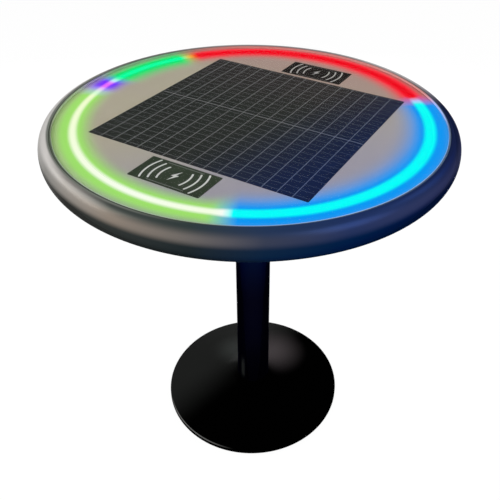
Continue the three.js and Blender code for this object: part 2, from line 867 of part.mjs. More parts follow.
// Colour mode push-button, with its own zero at the pan's lower face

const buttonCeiling = -fitGap - bezelThickness - buttonStand + buttonLength + stemLength
  + buttonTravel + fitGap;

function buttonBody() {
  const bezelTop = -fitGap;
  const bezelBottom = bezelTop - bezelThickness;
  const ceiling = buttonCeiling;
  return revolve([
    [0, ceiling],
    [buttonPocketRadius, ceiling],
    [buttonPocketRadius, bezelBottom],
    [buttonBodyRadius + buttonBezelReach, bezelBottom],
    [buttonBodyRadius + buttonBezelReach, bezelTop],
    [buttonBodyRadius, bezelTop],
    [buttonBodyRadius, ceiling + buttonFloor],
    [0, ceiling + buttonFloor],
  ], smallSteps);
}

function pushButton() {
  const face = -fitGap - bezelThickness - buttonStand;
  const top = face + buttonLength;
  return revolve([
    [0, face],
    [buttonRadius - buttonEdge, face],
    [buttonRadius, face + buttonEdge],
    [buttonRadius, top],
    [stemRadius, top],
    [stemRadius, top + stemLength],
    [0, top + stemLength],
  ], smallSteps);
}

// Column and its fastenings

function topPlate() {
  const bore = columnRadius + fitGap;
  const collar = bore + collarWall;
  const collarBottom = plateBottomZ - collarLength;
  const blank = revolve([
    [0, plateBottomZ],
    [bore, plateBottomZ],
    [bore, collarBottom],
    [collar, collarBottom],
    [collar, plateBottomZ],
    [plateRadius - plateEdge, plateBottomZ],
    [plateRadius, plateBottomZ + plateEdge],
    [plateRadius, plateTopZ],
    [0, plateTopZ],
  ], baseSteps);
  const holes = onCircle(boltCircle, boltCount).map(([x, y]) => (
    rod(boltRadius + fitGap, plateBottomZ - overrun, plateTopZ + overrun, holeSteps)
      .translate(x, y, 0)
  ));
  const rodHole = rod(rodHoleRadius, plateBottomZ - overrun, plateTopZ + overrun, holeSteps);
  return cutAway(blank, [...holes, rodHole]);
}

// A hexagon-headed bolt, its head under the plate and its end above the spider.
function plateBolt() {
  const headTop = plateBottomZ - fitGap;
  const head = rod(boltHeadRadius, headTop - boltHeadHeight, headTop, hexSides);
  const shank = rod(boltRadius, headTop - boltHeadHeight / 2, armTopZ + boltEnd, holeSteps);
  return joinAll([head, shank]);
}

function columnTube() {
  return ring(columnInnerRadius, columnRadius, columnBottomZ, columnTopZ, columnSteps);
}

// A hexagon nut with its washer, its seat at zero and the nut on the side of direction.
function washerNut(direction) {
  const washer = rod(washerRadius, 0, washerThickness, smallSteps);
  const nut = rod(nutRadius, washerThickness / 2, washerThickness + nutHeight, hexSides);
  const bore = rod(rodHoleRadius, -overrun, washerThickness + nutHeight + overrun, holeSteps);
  const whole = cutAway(joinAll([washer, nut]), [bore]);
  return direction > 0 ? whole : whole.rotateX(Math.PI);
}

// Base

// The height of the cone's upper face at a radius, without the neck.
function coneZ(radius) {
  return baseEdgeZ + (coneRise * (baseRadius - radius)) / (baseRadius - neckRadius);
}

// The height of the cover's upper face at a radius.
function coverZ(radius) {
  const inwardShare = (baseRadius - radius) / (baseRadius - neckRadius);
  return coneZ(radius) + neckRise * inwardShare ** neckPower;
}

// The cover's upper curve from the edge's fillet in to the neck, closer together near the neck.
function coverCurve(fromRadius, toRadius, drop) {
  return Array.from({ length: coverSteps + 1 }, (_, i) => {
    const inwardShare = Math.sin((i / coverSteps) * (Math.PI / 2));
    const radius = THREE.MathUtils.lerp(fromRadius, toRadius, inwardShare);
    return [radius, coverZ(radius) - drop];
  });
}

function baseCover() {
  const filletCentre = baseRadius - baseFillet;
  const filletTop = coverZ(filletCentre);
  const fillet = Array.from({ length: filletSteps }, (_, i) => {
    const angle = ((Math.PI / 2) * i) / filletSteps;
    return [
      filletCentre + baseFillet * Math.cos(angle),
      filletTop - baseFillet + baseFillet * Math.sin(angle),
    ];
  });
  return revolveRing([
    [coverInnerRadius, baseLift],
    [baseRadius, baseLift],
    ...fillet,
    ...coverCurve(filletCentre, neckRadius, 0),
    ...coverCurve(coverInnerRadius, neckRadius, coverWall).reverse(),
  ], baseSteps);
}

// The weight's cone follows the cover, and its boss carries the column.
const bossTopZ = coneZ(bossRadius) - coverWall - fitGap;
const columnBottomZ = bossTopZ + fitGap;
const nutPocketZ = weightBottomZ + nutPocketDepth;

function baseWeight() {
  const outer = coverInnerRadius - fitGap;
  const spigot = columnInnerRadius - fitGap;
  const blank = revolve([
    [0, nutPocketZ],
    [nutPocketRadius, nutPocketZ],
    [nutPocketRadius, weightBottomZ],
    [outer, weightBottomZ],
    [outer, coneZ(outer) - coverWall - fitGap],
    [bossRadius, bossTopZ],
    [spigot, bossTopZ],
    [spigot, bossTopZ + spigotLength],
    [0, bossTopZ + spigotLength],
  ], baseSteps);
  const rodHole = rod(rodHoleRadius, nutPocketZ - overrun,
    bossTopZ + spigotLength + overrun, holeSteps);
  const studHoles = onCircle(glideCircle, glideCount, Math.PI / glideCount).map(([x, y]) => (
    rod(studRadius + fitGap, weightBottomZ - overrun, bossTopZ + overrun, holeSteps)
      .translate(x, y, 0)
  ));
  return cutAway(blank, [rodHole, ...studHoles]);
}

// A glide's foot stands on the floor, and its stud screws up into the weight.
function glide() {
  const footTop = weightBottomZ - fitGap;
  return revolve([
    [0, 0],
    [glideFootRadius - glideFootEdge, 0],
    [glideFootRadius, glideFootEdge],
    [glideFootRadius, footTop],
    [studRadius, footTop],
    [studRadius, footTop + studLength],
    [0, footTop + studLength],
  ], smallSteps);
}

// Assembly

function buildTop() {
  const top = new THREE.Group();
  addPiece(top, 'rim_ring', rimRing(), 'rimMetal');
  addPiece(top, 'glass_top', glassTop(), 'clearGlass');
  addPiece(top, 'glass_gasket', glassGasket(), 'blackRubber');
  addPiece(top, 'deck_board', deckBoard(), 'greyDeck');
  addPiece(top, 'light_tube', lightTube(), 'milkySilicone');
  addPiece(top, 'led_strip', ledStrip(), 'stripWhite');
  addPiece(top, 'solar_laminate', solarLaminate(), 'solarCell', panelOffsetX, 0, deckTopZ);
  addPiece(top, 'solar_junction_box', junctionBox(), 'blackPlastic',
    panelOffsetX + junctionX, 0, deckTopZ);
  top.add(chargingModule('front', -padOffsetY));
  top.add(chargingModule('rear', padOffsetY));
  return top;
}

function buildUnderside() {
  const underside = new THREE.Group();
  addPiece(underside, 'underside_pan', undersidePan(), 'panBlack');
  addPiece(underside, 'support_spider', supportSpider(), 'zincSteel');
  onCircle(postCircle, armCount, Math.PI / armCount).forEach(([x, y], i) => {
    addPiece(underside, `deck_post_${i + 1}`, deckPost(), 'blackRubber', x, y);
  });
  addPiece(underside, 'battery_pack', batteryPack(), 'batteryBlue', batteryX, 0);
  [-1, 1].forEach((side, i) => {
    addPiece(underside, `battery_strap_${i + 1}`, batteryStrap(), 'zincSteel',
      batteryX, side * strapOffset);
  });
  addPiece(underside, 'charge_controller',
    controlBox(chargeBoxWidth, chargeBoxLength, chargeBoxHeight), 'blackPlastic', chargeBoxX, 0);
  addPiece(underside, 'led_controller',
    controlBox(ledBoxLength, ledBoxWidth, ledBoxHeight), 'blackPlastic', ledBoxX, ledBoxY);
  return underside;
}

function buildLeads() {
  const leads = new THREE.Group();
  const powerTopZ = panBottomZ + switchDepth;
  const modeTopZ = panBottomZ + buttonCeiling + buttonFloor;
  addPiece(leads, 'battery_lead', batteryLead(), 'cableBlack');
  addPiece(leads, 'solar_lead', solarLead(), 'cableBlack');
  addPiece(leads, 'charger_lead_front', chargerLead(-1), 'cableBlack');
  addPiece(leads, 'charger_lead_rear', chargerLead(1), 'cableBlack');
  addPiece(leads, 'controller_lead', controllerLead(), 'cableBlack');
  addPiece(leads, 'strip_lead', stripLead(), 'cableBlack');
  addPiece(leads, 'power_switch_lead',
    switchLead(-switchSpacing / 2, powerTopZ, ledBoxX), 'cableBlack');
  addPiece(leads, 'mode_switch_lead',
    switchLead(switchSpacing / 2, modeTopZ, ledBoxX + switchLeadSpacing), 'cableBlack');
  return leads;
}

function buildSwitches() {
  const switches = new THREE.Group();
  switches.position.set(0, -switchCircle, panBottomZ);
  const rockerX = -switchSpacing / 2;
  const buttonX = switchSpacing / 2;
  addPiece(switches, 'power_switch_body', switchBody(), 'blackPlastic', rockerX);
  const paddle = addPiece(switches, 'power_rocker', rocker(), 'blackPlastic',
    rockerX, 0, pivotHeight);
  paddle.rotation.y = -rockerTilt;
  addPiece(switches, 'mode_switch_body', buttonBody(), 'blackPlastic', buttonX);
  addPiece(switches, 'mode_button', pushButton(), 'padGrey', buttonX);
  return switches;
}

function buildPedestal() {
  const pedestal = new THREE.Group();
  addPiece(pedestal, 'top_plate', topPlate(), 'satinBlack');
  onCircle(boltCircle, boltCount).forEach(([x, y], i) => {
    addPiece(pedestal, `plate_bolt_${i + 1}`, plateBolt(), 'zincSteel', x, y);
  });
  addPiece(pedestal, 'column_tube', columnTube(), 'satinBlack');
  const upperSeatZ = armTopZ + fitGap;
  const lowerSeatZ = nutPocketZ - fitGap;
  const rodTopZ = upperSeatZ + washerThickness + nutHeight + rodEnd;
  addPiece(pedestal, 'tie_rod', rod(rodRadius, baseLift + weightLift, rodTopZ, holeSteps),
    'zincSteel');
  addPiece(pedestal, 'upper_rod_nut', washerNut(1), 'zincSteel', 0, 0, upperSeatZ);
  addPiece(pedestal, 'lower_rod_nut', washerNut(-1), 'zincSteel', 0, 0, lowerSeatZ);
  addPiece(pedestal, 'base_cover', baseCover(), 'satinBlack');
  addPiece(pedestal, 'base_weight', baseWeight(), 'castIron');
  onCircle(glideCircle, glideCount, Math.PI / glideCount).forEach(([x, y], i) => {
    addPiece(pedestal, `glide_${i + 1}`, glide(), 'blackRubber', x, y);
  });
  return pedestal;
}

const table = new THREE.Group();
table.add(buildTop(), buildUnderside(), buildLeads(), buildSwitches(), buildPedestal());

export default table;
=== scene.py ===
import json
import math

import bmesh
import bpy
import numpy as np
from mathutils import Matrix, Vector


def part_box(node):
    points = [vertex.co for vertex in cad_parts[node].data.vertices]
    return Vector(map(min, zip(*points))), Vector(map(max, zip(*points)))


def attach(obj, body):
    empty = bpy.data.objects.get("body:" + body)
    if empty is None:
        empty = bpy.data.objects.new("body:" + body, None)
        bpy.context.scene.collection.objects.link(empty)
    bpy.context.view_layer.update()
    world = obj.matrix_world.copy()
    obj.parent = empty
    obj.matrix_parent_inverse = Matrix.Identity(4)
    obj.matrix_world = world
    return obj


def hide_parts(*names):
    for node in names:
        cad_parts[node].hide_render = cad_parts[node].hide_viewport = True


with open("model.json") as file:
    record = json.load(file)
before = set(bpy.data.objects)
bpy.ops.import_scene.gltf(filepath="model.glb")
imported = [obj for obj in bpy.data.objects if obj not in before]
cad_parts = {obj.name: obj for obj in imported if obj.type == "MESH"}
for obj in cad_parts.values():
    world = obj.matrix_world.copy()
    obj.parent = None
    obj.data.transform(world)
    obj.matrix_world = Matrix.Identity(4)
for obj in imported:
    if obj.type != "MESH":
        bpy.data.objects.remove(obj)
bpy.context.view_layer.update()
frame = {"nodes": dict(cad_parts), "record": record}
nodes = frame["nodes"]
body_of = {n: b for b, ns in frame["record"]["behaviour"]["bodies"].items() for n in ns}

# Sizes in millimetres, as in the part

MM = 0.001
table_radius, rim_top, rim_bottom, rim_middle = 387.0, 750.0, 692.0, 721.0
rim_curve_radius, rim_bulge, rim_exponent, rim_wall = 366.3, 20.7, 2.05, 3.0
lip_radius, ledge_radius, recess_radius, flange_radius = 365.5, 343.5, 358.3, 338.3
ledge_top, ledge_bottom = 731.9, 728.9
flange_top, flange_bottom = 697.7, 694.7
glass_radius, glass_bottom, glass_top_z, glass_bevel = 361.7, 744.5, 748.5, 0.9
gasket_inner, gasket_outer, gasket_top = 362.0, 365.2, 748.9
deck_bottom, deck_top = 732.2, 744.2
light_radius, tube_half, groove_half = 327.0, 6.0, 6.3
tube_bottom, groove_bottom, tube_wall = 735.2, 734.9, 1.3
light_start_angle = math.radians(193.6)
light_x, light_y = -0.3, 2.5
panel_x, panel_length, panel_width, panel_depth = 6.2, 437.0, 421.01, 2.4
strip_first, strip_pitch, strip_count, strip_gap = -211.8, 27.25, 16, 1.0
wire_step, wires_per_half, seam_y, seam_to_wire = 17.5, 12, 2.0, 10.3
pad_x, pad_y, pad_length, pad_width, pad_depth = 9.0, 252.005, 138.0, 68.0, 2.0
pocket_gap, pocket_corner, hole_corner, lead_hole = 0.3, 2.3, 4.3, 2.8
junction_x, junction_length, junction_width = 126.2, 68.6, 44.6
tray_length, tray_width, tray_hole_bottom, tray_lead_x = 126.0, 56.0, 734.0, 51.0
pan_radius, pan_bottom, pan_top = 358.0, 692.0, 694.4
bead_radius, bead_half, bead_depth = 270.0, 6.0, 2.0
plate_radius, plate_bottom, plate_top = 120.0, 685.7, 691.7
collar_inner, collar_outer, collar_bottom = 37.8, 41.8, 661.7
bolt_circle, bolt_hole, rod_hole = 85.0, 4.3, 5.3
column_radius, column_inner, column_bottom, column_top = 37.5, 35.5, 23.567, 685.4
screw_circle, screw_radius, screw_rim = 348.0, 4.2, 3.6
base_radius, base_lift, base_edge_z, base_fillet = 206.0, 3.0, 12.4, 3.0
cone_rise, neck_rise, neck_power, neck_radius, cover_wall = 14.0, 22.0, 9, 38.0, 2.0
weight_bottom, weight_radius, weight_edge, weight_top = 4.0, 203.7, 10.29, 23.27
spigot_foot, spigot_radius, spigot_top = 48.0, 35.2, 43.27
nut_recess, nut_ceiling, stud_hole = 16.0, 15.5, 4.3
glide_circle, glide_foot, glide_stud, foot_top, stud_top = 170.0, 16.0, 4.0, 3.7, 12.7
switch_circle, switch_side, switch_bezel = 300.0, 22.0, 2.2
button_radius, button_body, bezel_radius, bore_radius, pin_radius = 4.6, 6.5, 8.9, 5.0, 1.5
floor_half = 6000.0

# Steps round a turned piece, by its width, and the angles in degrees from which edges stay sharp

wide, middling, small, fine, tiny = 240, 160, 64, 48, 24
sharp_angle, soft_angle = 32, 35

# Surfaces


def colour(red, green, blue):
    """A screen colour in steps of 255, as the light it stands for."""
    share = np.array([red, green, blue]) / 255
    light = np.where(share <= 0.04045, share / 12.92, ((share + 0.055) / 1.055) ** 2.4)
    return (*light.tolist(), 1.0)


def tint(value):
    """Three steps of 255 as a colour, and anything else as it is."""
    return colour(*value) if isinstance(value, tuple) and len(value) == 3 else value


def smoothed(mesh, sharp=sharp_angle):
    """Smooth shading, but for edges sharper than the given angle."""
    mesh.shade_smooth()
    mesh.set_sharp_from_angle(angle=math.radians(sharp))


def placed(name, data):
    """A new object in the scene."""
    thing = bpy.data.objects.new(name, data)
    bpy.context.scene.collection.objects.link(thing)
    return thing


def merged(mesh, reach, flat=0):
    """Joins points within a reach, and faces that meet at less than a flat angle in degrees."""
    shape = bmesh.new()
    shape.from_mesh(mesh)
    bmesh.ops.remove_doubles(shape, verts=shape.verts, dist=reach)
    if flat:
        bmesh.ops.dissolve_limit(
            shape, angle_limit=math.radians(flat), verts=shape.verts, edges=shape.edges)
    shape.to_mesh(mesh)
    shape.free()


def piece_of(name, points, faces, sharp=sharp_angle):
    """A smoothed mesh object from points in metres and faces, with doubles merged."""
    mesh = bpy.data.meshes.new(name)
    mesh.from_pydata(points.tolist(), [], faces)
    merged(mesh, 1e-7)
    smoothed(mesh, sharp)
    return placed(name, mesh)


def rounded(corners, reach, closed=True, points=4):
    """Rounds a profile's corners. A corner C becomes the curve (1-s)^2 P + 2s(1-s) C + s^2 Q,
    where P and Q lie on its two sides at the reach from C."""
    corners = np.asarray(corners, float)
    before = np.roll(corners, 1, 0) - corners
    after = np.roll(corners, -1, 0) - corners
    length_before = np.linalg.norm(before, axis=1, keepdims=True)
    length_after = np.linalg.norm(after, axis=1, keepdims=True)
    reach = np.broadcast_to(np.asarray(reach, float), len(corners)).copy()[:, None]
    if not closed:
        reach[0] = reach[-1] = 0
    reach = np.minimum(reach, 0.45 * np.minimum(length_before, length_after))
    start = corners + before / length_before * reach
    end = corners + after / length_after * reach
    s = np.linspace(0, 1, points + 1)[None, :, None]
    curve = (1 - s) ** 2 * start[:, None] + 2 * s * (1 - s) * corners[:, None]
    curve = (curve + s**2 * end[:, None]).reshape(-1, 2)
    keep = np.r_[True, np.linalg.norm(np.diff(curve, axis=0), axis=1) > 1e-4]
    return curve[keep]


def revolved(name, profile, steps, closed=True, centre=(0, 0), sharp=sharp_angle):
    """Turns a profile of radius and height about an upright axis: the point at an angle a is
    (radius cos a, radius sin a, height), set off by the centre."""
    profile = np.asarray(profile, float)
    radius, height = profile[:, :1], profile[:, 1:]
    angle = np.arange(steps) * (2 * math.pi / steps)
    grid = np.stack([
        centre[0] + radius * np.cos(angle),
        centre[1] + radius * np.sin(angle),
        np.repeat(height, steps, 1),
    ], -1)
    count = len(profile)
    i = np.arange(count if closed else count - 1)[:, None]
    j = np.arange(steps)[None]
    nxt, turn = (i + 1) % count, (j + 1) % steps
    faces = np.stack([i * steps + j, i * steps + turn, nxt * steps + turn, nxt * steps + j], -1)
    return piece_of(name, grid.reshape(-1, 3) * MM, faces.reshape(-1, 4).tolist(), sharp)


def turned(name, corners, reach, steps, centre=(0, 0)):
    """A solid turned piece, from the corners of its half section and their rounds."""
    return revolved(name, rounded(corners, reach, closed=False), steps, closed=False, centre=centre)


def ring(radius, count, first=0.0):
    """Places spread evenly on a circle, from a first angle in degrees."""
    angles = [math.radians(first + 360 / count * i) for i in range(count)]
    return [(radius * math.cos(angle), radius * math.sin(angle)) for angle in angles]


def extruded(name, outlines, bottom, top, centre=(0, 0)):
    """Raises closed outlines from one height to another: the outline's points at both heights,
    joined by side faces."""
    points, faces, first = [], [], 0
    for outline in outlines:
        outline = np.asarray(outline, float)
        x, y = outline[:, 0], outline[:, 1]
        if np.sum(x * np.roll(y, -1) - np.roll(x, -1) * y) < 0:
            outline = outline[::-1]
        count = len(outline)
        level = np.ones((count, 1))
        place = outline + np.array(centre)
        points += [np.hstack([place, level * bottom]), np.hstack([place, level * top])]
        i = np.arange(count)
        turn = (i + 1) % count
        sides = np.stack([i, turn, turn + count, i + count], -1) + first
        faces += [(i[::-1] + first).tolist(), (i + count + first).tolist(), *sides.tolist()]
        first += 2 * count
    return piece_of(name, np.vstack(points) * MM, faces)


def arc(radius, angles):
    """Points on a circle about the middle: the radius times the cosine and the sine."""
    return radius * np.stack([np.cos(angles), np.sin(angles)], -1)


def plate(length, width, corner, bottom, top, centre=(0, 0)):
    """A plate for cutting a pocket, each corner a quarter circle."""
    turn = np.linspace(0, math.pi / 2, 7)
    quarters = [
        arc(corner, turn + start * math.pi)
        + [sx * (length / 2 - corner), sy * (width / 2 - corner)]
        for sx, sy, start in ((1, 1, 0), (-1, 1, 0.5), (-1, -1, 1), (1, -1, 1.5))]
    return extruded("cutter", [np.vstack(quarters)], bottom, top, centre)


def disc(radius, bottom, top, centre=(0, 0), steps=tiny):
    """A short round bar, for cutting a hole."""
    profile = [(0, bottom), (radius, bottom), (radius, top), (0, top)]
    return revolved("cutter", profile, steps, closed=False, centre=centre)


def cut(piece, cutters):
    """Takes the cutters out of a piece and drops them."""
    for cutter in cutters:
        modifier = piece.modifiers.new("cut", "BOOLEAN")
        modifier.object, modifier.operation, modifier.solver = cutter, "DIFFERENCE", "EXACT"
    graph = bpy.context.evaluated_depsgraph_get()
    mesh = bpy.data.meshes.new_from_object(piece.evaluated_get(graph))
    piece.modifiers.clear()
    old, piece.data = piece.data, mesh
    bpy.data.meshes.remove(old)
    for cutter in cutters:
        bpy.data.meshes.remove(cutter.data)
    mesh.name = piece.name
    smoothed(mesh)
    return piece


def boxes(name, centres, size):
    """Many small square bars in one mesh: each corner is the centre plus or minus half the size."""
    signs = np.array([(x, y, z) for z in (-1, 1) for y in (-1, 1) for x in (-1, 1)])
    points = centres[:, None] + size * signs / 2
    sides = np.array([
        (0, 2, 3, 1), (4, 5, 7, 6), (0, 1, 5, 4), (2, 6, 7, 3), (0, 4, 6, 2), (1, 3, 7, 5)])
    faces = (np.arange(len(centres))[:, None, None] * 8 + sides[None]).reshape(-1, 4)
    return piece_of(name, points.reshape(-1, 3) * MM, faces.tolist())


def softened(node, width):
    """A copy of a node's solid whose edges have a small round of the given width."""
    mesh = nodes[node].data.copy()
    mesh.name = f"{node}_soft"
    merged(mesh, 1e-6, 0.5)
    mesh.materials.clear()
    smoothed(mesh, soft_angle)
    piece = placed(mesh.name, mesh)
    bevel = piece.modifiers.new("edge", "BEVEL")
    bevel.width, bevel.segments = width * MM, 3
    bevel.limit_method, bevel.angle_limit = "ANGLE", math.radians(soft_angle)
    bevel.harden_normals = True
    return piece


def hold(piece, material, slot, *replaced):
    """Gives a finished piece its finish and its body, and says which nodes it stands for."""
    piece.data.materials.clear()
    piece.data.materials.append(material)
    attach(piece, body_of[replaced[0]] if replaced else "table")
    if replaced:
        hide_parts(*replaced)


def hold_softened(width, material, slot, *names):
    """Puts softened copies in the place of nodes."""
    for name in names:
        hold(softened(name, width), material, slot, name)


def dress(material, *names):
    """Gives nodes that stay as they are their finish."""
    for name in names:
        for place in nodes[name].material_slots:
            place.material = material


# Shader sums


def joined(operation, swapped=False):
    """An operator that joins two shader values."""
    def operator(one, other):
        return one.sum(operation, *((other, one) if swapped else (one, other)))
    return operator


class Tap:
    """A shader's output that can stand in sums with numbers and other taps. Its angle is the one
    whose tangent is the first value over the second."""

    __add__ = __radd__ = joined("ADD")
    __mul__ = __rmul__ = joined("MULTIPLY")
    __sub__, __rsub__ = joined("SUBTRACT"), joined("SUBTRACT", swapped=True)
    __truediv__, __pow__ = joined("DIVIDE"), joined("POWER")
    __lt__, __gt__ = joined("LESS_THAN"), joined("GREATER_THAN")
    most, angle = joined("MAXIMUM"), joined("ARCTAN2")

    def __init__(self, finish, socket):
        self.finish, self.socket = finish, socket

    def sum(self, operation, *values):
        return self.finish.node("ShaderNodeMath", {"operation": operation}, dict(enumerate(values)))

    def __abs__(self):
        return self.sum("ABSOLUTE", self)

    def fraction(self):
        return self.sum("FRACT", self)

    def grey(self):
        """A colour as one number."""
        return self.finish.node("ShaderNodeRGBToBW", values={0: self})


class Finish:
    """One finish: a material, its nodes and the values they give."""

    def __init__(self, name, holder=None):
        self.material = holder or bpy.data.materials.new(name)
        self.material.use_nodes = True
        self.tree = self.material.node_tree
        self.tree.nodes.clear()
        self.coordinates = None

    def node(self, kind, settings=None, values=None, output=0):
        """Any node by its type, its settings, and the values or links of its sockets."""
        node = self.tree.nodes.new(kind)
        for key, value in (settings or {}).items():
            setattr(node, key, value)
        for key, value in (values or {}).items():
            if isinstance(value, Tap):
                self.tree.links.new(value.socket, node.inputs[key])
            else:
                node.inputs[key].default_value = value
        return Tap(self, node.outputs[output]) if output is not None else node

    def where(self):
        """The place on the piece, in metres."""
        if self.coordinates is None:
            self.coordinates = self.node("ShaderNodeTexCoord", output="Object")
        return self.coordinates

    def axes(self):
        """The place as three numbers."""
        split = self.node("ShaderNodeSeparateXYZ", values={0: self.where()}, output=None)
        return [Tap(self, split.outputs[i]) for i in range(3)]

    def noise(self, scale, detail=2.0, stretch=None):
        """Soft noise of about the given number of spots in a metre."""
        place = self.where()
        if stretch:
            place = self.node("ShaderNodeMapping", values={0: place, "Scale": stretch})
        return self.node("ShaderNodeTexNoise", values={
            "Vector": place, "Scale": scale, "Detail": detail})

    def ramp(self, factor, stops, interpolation="LINEAR"):
        """A colour or a number looked up between stops."""
        found = self.node("ShaderNodeValToRGB", values={0: factor})
        ramp = found.socket.node.color_ramp
        ramp.interpolation = interpolation
        while len(ramp.elements) < len(stops):
            ramp.elements.new(1.0)
        for element, (place, _) in zip(ramp.elements, stops):
            element.position = place
        for element, (_, value) in zip(ramp.elements, stops):
            element.color = tint(value) if isinstance(value, tuple) else (value, value, value, 1.0)
        return found

    def blend(self, factor, first, second):
        """Two colours, by a share."""
        return self.node("ShaderNodeMix", {"data_type": "RGBA"},
                         {0: factor, 6: tint(first), 7: tint(second)}, output=2)

    def span(self, value, low, high):
        """A value carried softly from a span to 0 to 1, and held at its ends."""
        return self.node("ShaderNodeMapRange", {"interpolation_type": "SMOOTHSTEP"},
                         {0: value, 1: low, 2: high})

    def relief(self, height, strength, depth):
        """A bump of the given depth in millimetres."""
        return self.node("ShaderNodeBump", values={
            "Strength": strength, "Distance": depth * MM, "Height": height})

    def surface(self, **values):
        """The plain surface shader, joined to the output."""
        named = {key.replace("_", " "): value for key, value in values.items()}
        return self.show(self.node("ShaderNodeBsdfPrincipled", values=named))

    def lit(self, **values):
        """A surface that glows, and isn't sampled as a lamp."""
        return unsampled(self.surface(Emission_Strength=1.0, **values))

    def show(self, shader):
        self.node("ShaderNodeOutputMaterial", values={"Surface": shader}, output=None)
        return self.material


def unsampled(material):
    """Keeps a glowing material from being sampled as a lamp."""
    material.cycles.emission_sampling = "NONE"
    return material


def distance(x, y):
    """The distance from the middle: the root of x squared plus y squared."""
    return (x * x + y * y) ** 0.5


def seen(x, y):
    """How far a place lies to the right and to the back, as the camera looks at the table."""
    return view_right[0] * x + view_right[1] * y, view_back[1] * y + view_back[0] * x


# Finishes

black = (0.0, 0.0, 0.0, 1.0)
view_right, view_back = (0.873, 0.486), (-0.520, 0.854)


def coated(name, tones, rough, grain=900, depth=0.02, dust_grain=2600):
    """A painted, moulded or coated finish: two tones in soft clouds, a fine grain in the relief
    and in the shine."""
    finish = Finish(name)
    cloud = finish.noise(9, 3)
    speck = finish.noise(grain, 3)
    dust = finish.noise(dust_grain, 1)
    tone = finish.blend(cloud, *tones)
    tone = finish.blend(0.12 * speck, tone, tones[1])
    shine = rough + 0.10 * (cloud - 0.5) + 0.08 * (dust - 0.5)
    return finish.surface(
        Base_Color=tone, Roughness=shine, Normal=finish.relief(speck, 0.35, depth))


def rim_metal_and_painted_light():
    """Satin metal with painted reflections: pewter highlights at the left that turn to navy
    reflected light at the right, a painted light stripe at mid height between painted darker top
    and bottom parts, a painted light grey inner edge at the left, painted shade on the far side
    with a painted pale highlight along its top, and a fine grain."""
    finish = Finish("rim_satin_metal_painted_light")
    x, y, z = finish.axes()
    right, back = seen(x, y)
    side = right / (2 * table_radius * MM) + 0.5
    # Painted reflections at mid height: pale and pewter at the left, navy light at the right.
    painted_light_band = finish.ramp(side, [
        (0.00, (236, 234, 230)), (0.08, (172, 170, 165)), (0.25, (163, 150, 137)),
        (0.38, (136, 129, 123)), (0.54, (69, 76, 99)), (0.70, (44, 59, 105)),
        (1.00, (62, 66, 103))])
    # Painted highlight and shade on the top: pale at the far left, dark elsewhere, navy at the
    # right.
    top = finish.ramp(side, [
        (0.00, (236, 234, 230)), (0.07, (226, 222, 218)), (0.14, (154, 150, 145)),
        (0.25, (72, 77, 73)), (0.40, (57, 68, 68)), (0.54, (43, 62, 96)),
        (0.70, (36, 55, 102)), (1.00, (31, 40, 78))])
    # Painted shade on the lower part, with navy light at the right.
    low = finish.ramp(side, [
        (0.00, (150, 149, 145)), (0.14, (74, 75, 72)), (0.25, (66, 70, 68)),
        (0.40, (42, 52, 56)), (0.54, (20, 46, 78)), (0.70, (2, 36, 80)),
        (1.00, (8, 20, 62))])
    tone = finish.blend(finish.span(z, 0.722, 0.735), low, painted_light_band)
    tone = finish.blend(finish.span(z, 0.7375, 0.7490), tone, top)
    # Painted shade on the far side, with a painted pale highlight along its top.
    away = finish.span(back + 0.30 * right, 0.13, 0.26)
    painted_far_tone = finish.blend(finish.span(z, 0.716, 0.742), (44, 44, 46), (100, 98, 97))
    painted_far_tone = finish.blend(finish.span(z, 0.7425, 0.7475), painted_far_tone, (172, 168, 167))
    tone = finish.blend(away, tone, painted_far_tone)
    # Painted light grey on the rim's inner edge at the left.
    painted_lip_light = finish.span(distance(x, y), 0.3712, 0.3672) * finish.span(side, 0.42, 0.22)
    tone = finish.blend(painted_lip_light, tone, (126, 130, 123))
    cloud = finish.noise(7, 3)
    tone = finish.blend(0.10 * cloud, tone, (20, 20, 22))
    grain = finish.noise(700, 3, stretch=(1.0, 1.0, 3.0))
    shine = 0.34 + 0.06 * (grain - 0.5) + 0.10 * (cloud - 0.5)
    return finish.surface(
        Base_Color=tone, Roughness=shine, Metallic=0.35, Specular_IOR_Level=0.0,
        Specular_Tint=(0.12, 0.12, 0.14, 1.0),
        Normal=finish.relief(grain, 0.25, 0.015))


def pedestal_coat_and_painted_light(name, tones, rough):
    """Satin black coat over steel with a fine orange peel, with painted blue light at the front
    towards the top, and a thin upright painted highlight near the foot."""
    finish = Finish(name)
    x, y, z = finish.axes()
    right, back = seen(x, y)
    peel = finish.noise(1000, 3)
    cloud = finish.noise(8, 3)
    tone = finish.blend(cloud, *tones)
    # Painted blue light on the front, towards the top.
    painted_front = finish.span(back, 0.03, 0.0)
    tone = finish.blend(finish.span(z, 0.30, 0.66) * painted_front, tone, (2, 30, 76))
    # A thin upright painted highlight near the foot, at the front left.
    painted_streak = finish.span(abs(right + 0.0235), 0.0065, 0.0010) * painted_front
    painted_streak = painted_streak * finish.span(z, 0.045, 0.070) * finish.span(z, 0.135, 0.085)
    tone = finish.blend(painted_streak, tone, (74, 77, 76))
    return finish.surface(
        Base_Color=tone, Roughness=rough + 0.08 * (cloud - 0.5) + 0.06 * (peel - 0.5),
        Metallic=0.85, Specular_IOR_Level=0.0, Specular_Tint=(0.2, 0.2, 0.22, 1.0),
        Normal=finish.relief(peel, 0.3, 0.012))


